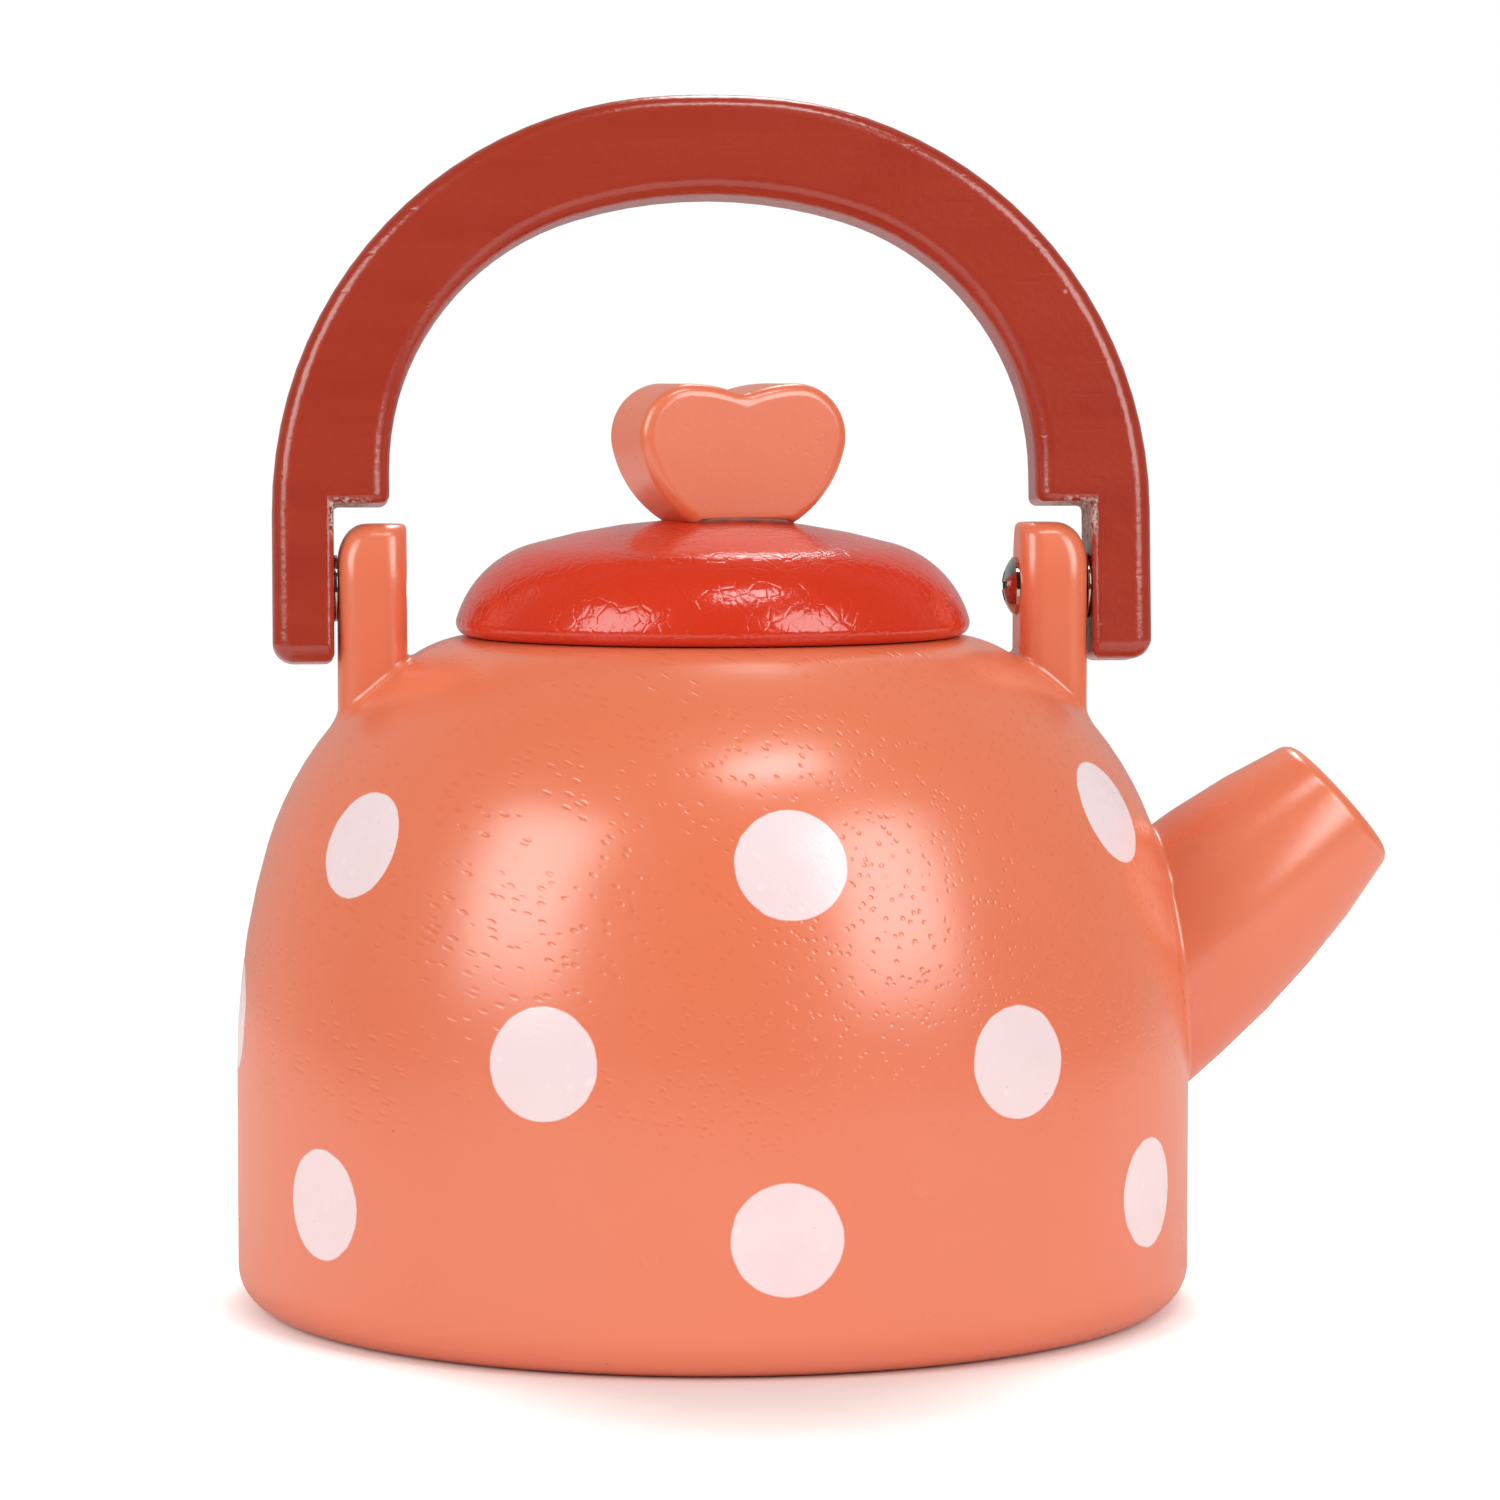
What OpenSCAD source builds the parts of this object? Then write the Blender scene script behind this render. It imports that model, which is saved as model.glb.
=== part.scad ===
// Wooden toy kettle: a turned body with a loose lid, a glued spout and a swinging board handle.
// Millimetres, +Z up, origin at the centre of the base. The spout points along +X.

/* [Body] */
// Diameter of the turned body
body_d = 115; // [100:0.5:130]
// Height of the flat top that carries the lid
body_h = 80.5; // [74:0.5:92]
// Rounding of the lower edge
base_edge_r = 5; // [2:0.5:8]
// Radius of the long curve that leads the side inwards
side_curve_r = 92; // [80:1:110]
// Turn of the long side curve, in degrees
side_curve_turn = 16.5; // [14:0.5:19]
// Radius of the shoulder curve
shoulder_r = 40; // [36:1:44]
// Steepness at which the shoulder passes into the crown, in degrees from upright
shoulder_turn = 60; // [56:1:64]
// Radius of the crown curve next to the flat top
crown_r = 14; // [10:0.5:16]
// Diameter of the bored cavity and of the mouth
mouth_d = 50; // [42:0.5:52]
// Thickness of the wood below the cavity
floor_t = 14; // [10:0.5:24]
// Rounding at the bottom of the cavity
cavity_corner_r = 5; // [2:0.5:8]

/* [Lid] */
// Diameter of the lid's dome where its curve would stand upright, just below the edge
lid_d = 62.8; // [58:0.2:66]
// Height of the lid's dome above the seat
lid_h = 14; // [12:0.25:16]
// Radius of the lid's crown
lid_crown_r = 80; // [70:1:95]
// Radius of the lid's shoulder
lid_shoulder_r = 13; // [11:0.5:14]
// Rounding of the lid's lower edge
lid_edge_r = 1.6; // [0.8:0.1:2.4]
// Length of the spigot below the lid
spigot_h = 6; // [4:0.5:9]
// Angle by which the lid is turned in its seat
lid_turn = 16; // [-40:1:40]

/* [Knob] */
// Width of the heart
knob_w = 26.4; // [24:0.2:29]
// Height of the heart above the lid's top
knob_h = 16.2; // [13:0.2:20]
// Thickness of the heart
knob_t = 12.5; // [9:0.5:15]
// Radius of each lobe
knob_lobe_r = 6.35; // [5.8:0.05:7]
// Radius of the shallow curve from the top of a lobe down to the cleft
knob_top_r = 18; // [14:0.5:24]
// Radius of the side below a lobe
knob_side_r = 14; // [13:0.25:16]
// Width of the heart's coped foot
knob_foot_w = 12.6; // [11:0.2:14]
// Distance of the heart from the lid's axis, along its own width
knob_offset = 2; // [0:0.1:3]
// Rounding of the heart's edges
knob_edge_r = 2; // [1:0.1:2.6]
// Diameter of the dowel between knob and lid
dowel_d = 6; // [4:0.5:7]
// Length of the dowel, half in each piece
dowel_l = 16; // [12:0.5:18]

/* [Spout] */
// Distance of the spout's tip from the body's axis
spout_reach = 76.8; // [70:0.1:84]
// Height of the middle of the tip
spout_tip_z = 60.2; // [56:0.2:66]
// Upward tilt of the spout, in degrees
spout_tilt = 41.4; // [36:0.2:46]
// Diameter of the tip
spout_tip_d = 18; // [14:0.5:20]
// Rounding of the tip's rim
spout_rim_r = 2; // [1:0.1:3]
// Radius of the bulging side
spout_side_r = 111; // [90:1:130]
// Slope of the side at the tip, in degrees
spout_taper = 16.5; // [12:0.5:19]
// Diameter of the turned tenon
spout_tenon_d = 14; // [10:0.5:16]
// Length of the tenon inside the body
spout_tenon_l = 16; // [10:0.5:20]

/* [Lugs] */
// Distance between the inner faces of the two lugs
lug_gap = 73.8; // [70:0.2:80]
// Thickness of a lug along the pivot
lug_t = 8.2; // [6:0.1:10]
// Depth of a lug from front to back
lug_d = 11; // [9:0.25:12]
// Height of a lug above the pivot
lug_rise = 7.7; // [6:0.1:8.2]
// Rounding of the upright edges of a lug
lug_edge_r = 2; // [0.5:0.1:3]
// Rounding of the outer top corner of a lug
lug_corner_r = 3; // [1.5:0.1:4]
// Rounding of the inner top corner of a lug
lug_inner_corner_r = 1.2; // [0.5:0.1:2]
// Depth of the lug's foot below the shoulder
lug_tenon = 6; // [4:0.5:10]

/* [Handle] */
// Height of the pivot above the base
pivot_z = 86.3; // [84:0.1:92]
// Lean of the handle from upright, towards the back, in degrees
handle_lean = 5.5; // [-15:0.5:15]
// Thickness of the handle's board
handle_t = 10; // [8:0.25:11]
// Thickness of the cheek beside the lug
cheek_t = 7.3; // [6:0.1:9]
// Width of the handle at the legs
leg_w = 14; // [12:0.1:16]
// Rise of the handle's outer edge above the pivot
handle_rise = 59.1; // [55:0.1:66]
// Width of the handle at the crown
grip_w = 12.2; // [11:0.2:15]
// Radius of the outer edge at the crown
outer_crown_r = 113; // [90:1:140]
// Radius of the outer edge at the sides
outer_side_r = 50; // [46:0.5:51]
// Radius of the inner edge at the crown
inner_crown_r = 55.7; // [50:0.1:62]
// Radius of the inner edge at the sides
inner_side_r = 32; // [29:0.5:34]
// Rounding of the outer edges
handle_outer_edge_r = 2; // [1:0.1:2.5]
// Rounding of the inner edges
handle_inner_edge_r = 2.4; // [1:0.1:3]
// Rounding of the edges beside the lug
cheek_edge_r = 0.9; // [0.5:0.1:1.5]
// Height of the notch's shoulder above the pivot
notch_rise = 9.95; // [9.7:0.05:12]
// Depth of the leg's end below the pivot
leg_drop = 9; // [7.5:0.1:10]
// Rounding of the leg's outer lower corner
leg_corner_r = 2.6; // [1:0.1:4]

/* [Pivots] */
// Diameter of the screws' shank
screw_d = 3.5; // [3:0.1:4]
// Diameter of the screws' domed head
head_d = 7; // [6:0.1:8]
// Height of the head
head_h = 1.7; // [1.2:0.1:2.4]
// Height of the head's straight rim
head_rim_h = 0.4; // [0.2:0.05:0.6]
// Depth to which the left screw's head is sunk into its lug
left_head_sink = 1.9; // [1:0.1:2.4]
// Width of the head's cross slot
slot_w = 0.9; // [0.6:0.05:1.2]
// Length of the head's cross slot
slot_l = 3.6; // [2.5:0.1:4.5]
// Depth of the head's cross slot
slot_depth = 0.9; // [0.5:0.05:1.1]
// Length of thread in the handle
screw_bite = 4.6; // [3.5:0.1:5.5]
// Length of the screw's point
screw_point_l = 1.6; // [1:0.1:2.5]
// Diameter of the point's blunt end
screw_tip_d = 0.9; // [0.4:0.1:1.5]
// Diameter of the washers
washer_d = 8; // [7:0.25:9.5]
// Thickness of the washers
washer_t = 0.4; // [0.3:0.05:0.8]

/* [Clearances] */
// Radial clearance of the screws in the lugs
pivot_gap = 0.05; // [0.02:0.01:0.1]
// Side play at each face of the pivot
side_play = 0.05; // [0.02:0.01:0.2]
// Radial clearance of the lid's spigot in the mouth
spigot_gap = 0.4; // [0.3:0.05:1]
// Gap below the lid at its seat
seat_gap = 0.05; // [0.02:0.01:0.2]
// Glue gap round tenons and dowels
glue_gap = 0.05; // [0.02:0.01:0.2]
// Spare depth at the bottom of glued and screwed holes
hole_spare = 0.5; // [0.2:0.1:1]

/* [Hidden] */
$fn = 96;

LEFT = -1;
RIGHT = 1;
CORAL = [0.93, 0.48, 0.35];
LID_RED = [0.85, 0.25, 0.16];
HANDLE_RED = [0.65, 0.23, 0.18];
NICKEL = [0.78, 0.77, 0.75];
BEECH = [0.85, 0.72, 0.52];
// Extra length of cutting shapes past the face that they open
cut_past = 1;
// Turn of the handle's edges from one section of its arch to the next, in degrees
arch_step = 5;
// Steps along the rounding of each edge of the handle and the heart
edge_steps = 4;
// Steps along the heart's side, lobe and top curves
heart_steps = [8, 18, 5];
// Way by which each half of the heart runs past the middle into the other half
heart_overlap = 2;

// A curve is [centre, radius, start angle, end angle], in the plane of the profile.
function on_curve(curve, angle) = curve[0] + curve[1] * [cos(angle), sin(angle)];
function curve_start(curve) = on_curve(curve, curve[2]);
function curve_end(curve) = on_curve(curve, curve[3]);
// Corner points along curves that each start where the last one ends
function curve_chain(curves) = [curve_start(curves[0]), for (curve = curves) curve_end(curve)];
// Points along a curve in equal steps, after its start
function curve_steps(curve, steps) =
    [for (k = [1:steps]) on_curve(curve, curve[2] + (curve[3] - curve[2]) * k / steps)];

// Body profile: edge rounding, side, shoulder and crown, each tangent to the next.
body_r = body_d / 2;
side_turn_r = side_curve_r - shoulder_r;
shoulder_turn_r = shoulder_r - crown_r;
crown_z = body_h - crown_r;
shoulder_z = crown_z - shoulder_turn_r * sin(shoulder_turn);
side_z = shoulder_z - side_turn_r * sin(side_curve_turn);
shoulder_x = body_r - side_curve_r + side_turn_r * cos(side_curve_turn);
crown_x = shoulder_x + shoulder_turn_r * cos(shoulder_turn);
base_curve = [[body_r - base_edge_r, base_edge_r], base_edge_r, -90, 0];
side_curve = [[body_r - side_curve_r, side_z], side_curve_r, 0, side_curve_turn];
shoulder_curve = [[shoulder_x, shoulder_z], shoulder_r, side_curve_turn, shoulder_turn];
crown_curve = [[crown_x, crown_z], crown_r, shoulder_turn, 90];
// Height of the body's surface at a radius between the seat and the side
function body_z(r) =
    r <= crown_x ? body_h
    : r <= curve_start(crown_curve)[0] ? crown_z + sqrt(crown_r ^ 2 - (r - crown_x) ^ 2)
    : r <= curve_start(shoulder_curve)[0] ? shoulder_z + sqrt(shoulder_r ^ 2 - (r - shoulder_x) ^ 2)
    : side_z + sqrt(max(0, side_curve_r ^ 2 - (r - body_r + side_curve_r) ^ 2));

// Lid profile: the crown's centre is on the axis, and the edge rounding lies inside the shoulder.
lid_r = lid_d / 2;
lid_seat_z = body_h + seat_gap;
lid_top_z = lid_seat_z + lid_h;
lid_shoulder_x = lid_r - lid_shoulder_r;
lid_join = acos(lid_shoulder_x / (lid_crown_r - lid_shoulder_r));
lid_crown_z = lid_top_z - lid_crown_r;
lid_shoulder_z = lid_crown_z + (lid_crown_r - lid_shoulder_r) * sin(lid_join);
lid_edge_z = lid_seat_z + lid_edge_r;
lid_edge_turn = asin((lid_edge_z - lid_shoulder_z) / (lid_shoulder_r - lid_edge_r));
lid_edge_x = lid_shoulder_x + (lid_shoulder_r - lid_edge_r) * cos(lid_edge_turn);
lid_edge_curve = [[lid_edge_x, lid_edge_z], lid_edge_r, -90, lid_edge_turn];
lid_shoulder_curve = [[lid_shoulder_x, lid_shoulder_z], lid_shoulder_r, lid_edge_turn, lid_join];
lid_crown_curve = [[0, lid_crown_z], lid_crown_r, lid_join, 90];
spigot_r = mouth_d / 2 - spigot_gap;

// Knob: each half has a side curve from the foot up, a lobe and a shallow top curve down to the cleft,
// each tangent to the next. The foot reaches just below the lid's surface at its farthest corner.
knob_top_z = lid_top_z + knob_h;
lobe_x = knob_w / 2 - knob_lobe_r;
lobe_centre = [lobe_x, knob_top_z - knob_lobe_r];
foot_reach = norm([knob_foot_w / 2 + knob_offset, knob_t / 2]);
foot_z = lid_top_z - foot_reach ^ 2 / (2 * lid_crown_r) - glue_gap;
foot_to_lobe = lobe_centre - [knob_foot_w / 2, foot_z];
knob_turn_r = knob_side_r - knob_lobe_r;
foot_cosine = (foot_to_lobe * foot_to_lobe + knob_turn_r ^ 2 - knob_side_r ^ 2)
    / (2 * knob_turn_r * norm(foot_to_lobe));
lobe_start = atan2(foot_to_lobe[1], foot_to_lobe[0]) - acos(foot_cosine);
knob_side_centre = lobe_centre - knob_turn_r * [cos(lobe_start), sin(lobe_start)];
cleft_turn = acos(-(lobe_x + heart_overlap) / knob_top_r);
// Outline of the heart's right half, moved in by an inset
function heart_outline(inset) =
    let (
        side_r = knob_side_r - inset,
        foot_turn = asin(max(-1, (foot_z - knob_side_centre[1]) / side_r)),
        side = [knob_side_centre, side_r, foot_turn, lobe_start],
        lobe = [lobe_centre, knob_lobe_r - inset, lobe_start, 90],
        top = [[lobe_x, knob_top_z - knob_top_r], knob_top_r - inset, 90, cleft_turn]
    )
    concat(
        [[-heart_overlap, curve_start(side)[1]], curve_start(side)],
        curve_steps(side, heart_steps[0]),
        curve_steps(lobe, heart_steps[1]),
        curve_steps(top, heart_steps[2])
    );
// Insets of the heart's outline as [inset, distance from the middle plane], from its face to its edge
heart_levels = [
    for (k = [0:edge_steps])
        let (turn = 90 * k / edge_steps)
        [knob_edge_r * (1 - sin(turn)), knob_t / 2 - knob_edge_r * (1 - cos(turn))]
];

// Spout: distances are measured from the tip back along its axis.
spout_tip_r = spout_tip_d / 2;
spout_bulge_s = spout_side_r * sin(spout_taper);
spout_axis_r = spout_tip_r - spout_side_r * cos(spout_taper);
spout_root_r = spout_axis_r + spout_side_r;
rim_turn = asin((spout_bulge_s - spout_rim_r) / (spout_side_r - spout_rim_r));
rim_x = spout_axis_r + (spout_side_r - spout_rim_r) * cos(rim_turn);
spout_side_curve = [[spout_axis_r, -spout_bulge_s], spout_side_r, 0, rim_turn];
spout_rim_curve = [[rim_x, -spout_rim_r], spout_rim_r, rim_turn, 90];
spout_exposed = (spout_reach - body_r) / cos(spout_tilt);
spout_tenon_end = spout_exposed + spout_tenon_l;
spout_back = spout_exposed + 2 * spout_root_r * tan(spout_tilt);

// Lugs
lug_inner_x = lug_gap / 2;
lug_outer_x = lug_inner_x + lug_t;
lug_top_z = pivot_z + lug_rise;
lug_foot_z = body_z(norm([lug_outer_x, lug_d / 2])) - lug_tenon;

// Handle: outer and inner edges are three-centred arches, in a plane with the pivot at its origin.
cheek_x = lug_outer_x + washer_t + 2 * side_play;
outer_x = cheek_x + cheek_t;
inner_x = outer_x - leg_w;
inner_rise = handle_rise - grip_w;
outer_join = asin((outer_x - outer_side_r) / (outer_crown_r - outer_side_r));
inner_join = asin((inner_x - inner_side_r) / (inner_crown_r - inner_side_r));
outer_spring = handle_rise - outer_crown_r + (outer_crown_r - outer_side_r) * cos(outer_join);
inner_spring = inner_rise - inner_crown_r + (inner_crown_r - inner_side_r) * cos(inner_join);
outer_side_curve = [[outer_x - outer_side_r, outer_spring], outer_side_r, 0, 90 - outer_join];
outer_crown_curve = [[0, handle_rise - outer_crown_r], outer_crown_r, 90 - outer_join, 90];
inner_side_curve = [[inner_x - inner_side_r, inner_spring], inner_side_r, 0, 90 - inner_join];
inner_crown_curve = [[0, inner_rise - inner_crown_r], inner_crown_r, 90 - inner_join, 90];
// Point where an edge of two curves faces the given angle
function facing(angle, side, crown) = on_curve(angle <= side[3] ? side : crown, angle);
// Sections of the arch as [inner point, outer point], from the right leg's end to the crown
right_sections = concat(
    [[[inner_x, -leg_drop], [outer_x, -leg_drop]]],
    [
        for (angle = [0:arch_step:90]) [
            facing(angle, inner_side_curve, inner_crown_curve),
            facing(angle, outer_side_curve, outer_crown_curve),
        ]
    ]
);
left_sections = [
    for (k = [len(right_sections) - 2:-1:0]) [for (point = right_sections[k]) [-point[0], point[1]]]
];
arch_sections = concat(right_sections, left_sections);
// Outline of the board's cross-section between an inner and an outer point, with its rounded edges
function section_outline(inner, outer) =
    let (
        w = norm(outer - inner),
        way = (outer - inner) / w,
        outer_y = handle_t / 2 - handle_outer_edge_r,
        inner_y = handle_t / 2 - handle_inner_edge_r,
        corners = [
            [[w - handle_outer_edge_r, outer_y], handle_outer_edge_r, 0, 90],
            [[handle_inner_edge_r, inner_y], handle_inner_edge_r, 90, 180],
            [[handle_inner_edge_r, -inner_y], handle_inner_edge_r, 180, 270],
            [[w - handle_outer_edge_r, -outer_y], handle_outer_edge_r, 270, 360],
        ]
    )
    [
        for (corner = corners) for (k = [0:edge_steps])
            let (p = on_curve(corner, corner[2] + (corner[3] - corner[2]) * k / edge_steps))
            [inner[0] + way[0] * p[0], p[1], inner[1] + way[1] * p[0]]
    ];

// Screws
screw_r = screw_d / 2;
// Depth to which a side's head is sunk into its lug
function head_sink(side) = side == LEFT ? left_head_sink : 0;

// The bow of wood between a curve and its chord
module curve_bow(curve) {
    a = curve_start(curve);
    b = curve_end(curve);
    middle = (curve[2] + curve[3]) / 2;
    out = curve[1] * [cos(middle), sin(middle)];
    intersection() {
        translate(curve[0]) circle(curve[1]);
        polygon([a, a + out, b + out, b]);
    }
}

// A filled profile: the corner points, with a bow added on each curve between them
module bowed_profile(points, curves) {
    polygon(points);
    for (curve = curves) curve_bow(curve);
}

// Rectangle from the origin, with its own rounding at each corner, from the lower left anticlockwise
module rounded_rectangle(w, h, r) {
    corners = [
        [[r[0], r[0]], r[0], 180, 270],
        [[w - r[1], r[1]], r[1], 270, 360],
        [[w - r[2], h - r[2]], r[2], 0, 90],
        [[r[3], h - r[3]], r[3], 90, 180],
    ];
    bowed_profile([for (corner = corners) each curve_chain([corner])], corners);
}

// Rectangle from the origin with its two upper corners rounded
module round_topped(w, h, left_r, right_r) {
    right = [[w - right_r, h - right_r], right_r, 0, 90];
    left = [[left_r, h - left_r], left_r, 90, 180];
    bowed_profile(concat([[0, 0], [w, 0]], curve_chain([right]), curve_chain([left])), [right, left]);
}

// A closed skin over outlines that have the same number of points
module skin(outlines) {
    n = len(outlines[0]);
    last = len(outlines) - 1;
    sides = [
        for (k = [0:last - 1]) for (i = [0:n - 1])
            [k * n + i, k * n + (i + 1) % n, (k + 1) * n + (i + 1) % n, (k + 1) * n + i]
    ];
    ends = [[for (i = [n - 1:-1:0]) i], [for (i = [0:n - 1]) last * n + i]];
    polyhedron([for (outline = outlines) each outline], concat(sides, ends));
}

// Both a shape and its mirror image across the kettle's middle plane
module both_sides() {
    children();
    mirror([1, 0, 0]) children();
}

// One side's copy of a shape that is drawn on the right
module on_side(side) {
    if (side == RIGHT) children();
    else mirror([1, 0, 0]) children();
}

// The outside of the turned body, with no holes
module body_form() {
    upper_curves = [side_curve, shoulder_curve, crown_curve];
    rotate_extrude()
        bowed_profile(
            concat([[0, 0]], curve_chain([base_curve]), curve_chain(upper_curves), [[0, body_h]]),
            concat([base_curve], upper_curves)
        );
}

module cavity() {
    corner = [[mouth_d / 2 - cavity_corner_r, floor_t + cavity_corner_r], cavity_corner_r, -90, 0];
    rotate_extrude()
        bowed_profile(
            [
                [0, floor_t], curve_start(corner), curve_end(corner),
                [mouth_d / 2, body_h + cut_past], [0, body_h + cut_past],
            ],
            [corner]
        );
}

// The upright post of a lug, grown by a gap all round; its foot reaches down to the given height
module lug_post(foot_z, top_z, gap) {
    r = lug_edge_r + gap;
    translate([lug_inner_x - gap, -lug_d / 2 - gap, foot_z])
        linear_extrude(top_z - foot_z)
            rounded_rectangle(lug_t + 2 * gap, lug_d + 2 * gap, [r, r, r, r]);
}

// Places a shape that is drawn along Z, with the spout's tip at its origin
module at_spout() {
    translate([spout_reach, 0, spout_tip_z]) rotate([0, 90 - spout_tilt, 0]) children();
}

module spout_tenon(gap) {
    at_spout() translate([0, 0, -spout_tenon_end - gap])
        cylinder(r = spout_tenon_d / 2 + gap, h = spout_tenon_l + spout_exposed / 2);
}

module body() {
    color(CORAL) difference() {
        body_form();
        cavity();
        both_sides() lug_post(lug_foot_z - glue_gap, body_h + cut_past, glue_gap);
        spout_tenon(glue_gap);
    }
}

module lug(side) {
    on_side(side) difference() {
        intersection() {
            lug_post(lug_foot_z, lug_top_z, 0);
            translate([lug_inner_x, lug_d / 2 + cut_past, lug_foot_z]) rotate([90, 0, 0])
                linear_extrude(lug_d + 2 * cut_past)
                    round_topped(lug_t, lug_top_z - lug_foot_z, lug_inner_corner_r, lug_corner_r);
        }
        translate([lug_inner_x - cut_past, 0, pivot_z]) rotate([0, 90, 0]) {
            cylinder(r = screw_r + pivot_gap, h = lug_t + 2 * cut_past);
            if (head_sink(side) > 0) cylinder(r = head_d / 2 + pivot_gap, h = head_sink(side) + cut_past);
        }
    }
}

module left_lug() {
    color(CORAL) lug(LEFT);
}

module right_lug() {
    color(CORAL) lug(RIGHT);
}

module spout() {
    curves = [spout_side_curve, spout_rim_curve];
    color(CORAL) {
        difference() {
            at_spout() rotate_extrude()
                bowed_profile(
                    concat([[0, -spout_back], [spout_root_r, -spout_back]], curve_chain(curves), [[0, 0]]),
                    curves
                );
            body_form();
        }
        spout_tenon(0);
    }
}

// The outside of the lid's dome
module lid_form() {
    curves = [lid_edge_curve, lid_shoulder_curve, lid_crown_curve];
    rotate_extrude()
        bowed_profile(
            concat([[0, lid_seat_z]], curve_chain(curves)),
            curves
        );
}

// Places a shape that is drawn upright round the middle of the heart
module at_knob() {
    rotate([0, 0, lid_turn]) translate([knob_offset, 0, 0]) children();
}

module knob_dowel_hole() {
    at_knob() translate([0, 0, lid_top_z]) cylinder(
        r = dowel_d / 2 + glue_gap, h = dowel_l + 2 * hole_spare, center = true
    );
}

module lid() {
    color(LID_RED) difference() {
        union() {
            lid_form();
            translate([0, 0, lid_seat_z - spigot_h]) cylinder(r = spigot_r, h = spigot_h + lid_h / 2);
        }
        knob_dowel_hole();
    }
}

// The heart's right half, as a skin over its outline at each depth from front to back
module heart_half() {
    front = [for (level = heart_levels) [level[0], -level[1]]];
    back = [for (k = [edge_steps:-1:0]) heart_levels[k]];
    skin([
        for (level = concat(front, back)) [for (p = heart_outline(level[0])) [p[0], level[1], p[1]]]
    ]);
}

module lid_knob() {
    color(CORAL) difference() {
        at_knob() both_sides() heart_half();
        lid_form();
        knob_dowel_hole();
    }
}

module knob_dowel() {
    color(BEECH) at_knob() translate([0, 0, lid_top_z])
        cylinder(r = dowel_d / 2, h = dowel_l, center = true);
}

// Places a shape that is drawn with the pivot at its origin and the handle upright
module at_pivot() {
    translate([0, 0, pivot_z]) rotate([-handle_lean, 0, 0]) children();
}

// What rounding takes off a square corner at the origin, where the wood lies at negative x and y
module corner_waste(r) {
    translate([-r, -r]) difference() {
        square(r + cut_past);
        circle(r);
    }
}

// What is sawn off the right leg: the notch beside the lug, its softened edges and the outer lower corner
module leg_waste() {
    height = notch_rise + leg_drop + cut_past;
    translate([0, 0, -leg_drop - cut_past]) {
        translate([inner_x - cut_past, -handle_t / 2 - cut_past, 0])
            cube([cheek_x - inner_x + cut_past, handle_t + 2 * cut_past, height]);
        for (flip = [0, 1])
            mirror([0, flip, 0]) translate([cheek_x, handle_t / 2, 0]) linear_extrude(height)
                mirror([1, 0]) corner_waste(cheek_edge_r);
    }
    translate([outer_x, 0, -leg_drop]) rotate([90, 0, 0])
        linear_extrude(handle_t + 2 * cut_past, center = true) mirror([0, 1]) corner_waste(leg_corner_r);
}

module handle() {
    color(HANDLE_RED) at_pivot() difference() {
        skin([for (section = arch_sections) section_outline(section[0], section[1])]);
        both_sides() {
            leg_waste();
            translate([cheek_x - cut_past, 0, 0]) rotate([0, 90, 0])
                cylinder(r = screw_r, h = cut_past + screw_bite + hole_spare);
        }
    }
}

// A screw from the inner face of its lug out into the cheek
module pivot_screw(side) {
    head_x = lug_inner_x + head_sink(side) - side_play;
    under_head = cheek_x + screw_bite - head_x;
    dome_h = head_h - head_rim_h;
    dome_r = (dome_h ^ 2 + (head_d / 2) ^ 2) / (2 * dome_h);
    dome_turn = asin((dome_r - dome_h) / dome_r);
    dome = [[0, head_h - dome_r], dome_r, dome_turn, 90];
    color(NICKEL) at_pivot() on_side(side) translate([head_x, 0, 0]) rotate([0, -90, 0]) {
        difference() {
            rotate_extrude()
                bowed_profile([[0, 0], [head_d / 2, 0], curve_start(dome), curve_end(dome)], [dome]);
            for (turn = [0, 90])
                rotate([0, 0, turn]) translate([0, 0, head_h])
                    cube([slot_l, slot_w, 2 * slot_depth], center = true);
        }
        translate([0, 0, screw_point_l - under_head])
            cylinder(r = screw_r, h = under_head - screw_point_l + head_rim_h);
        translate([0, 0, -under_head]) cylinder(r1 = screw_tip_d / 2, r2 = screw_r, h = screw_point_l);
    }
}

module left_pivot_screw() {
    pivot_screw(LEFT);
}

module right_pivot_screw() {
    pivot_screw(RIGHT);
}

module washer(side) {
    color(NICKEL) at_pivot() on_side(side) translate([lug_outer_x + side_play, 0, 0]) rotate([0, 90, 0])
        difference() {
            cylinder(d = washer_d, h = washer_t);
            translate([0, 0, -cut_past]) cylinder(r = screw_r + pivot_gap, h = washer_t + 2 * cut_past);
        }
}

module left_washer() {
    washer(LEFT);
}

module right_washer() {
    washer(RIGHT);
}

body();
left_lug();
right_lug();
spout();
lid();
lid_knob();
knob_dowel();
handle();
left_pivot_screw();
right_pivot_screw();
left_washer();
right_washer();
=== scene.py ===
"""Wooden toy kettle with a swinging handle and a lift-off lid, dressed over its solid frame."""

import math

import bmesh
import bpy
from mathutils import Matrix, Vector


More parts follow.
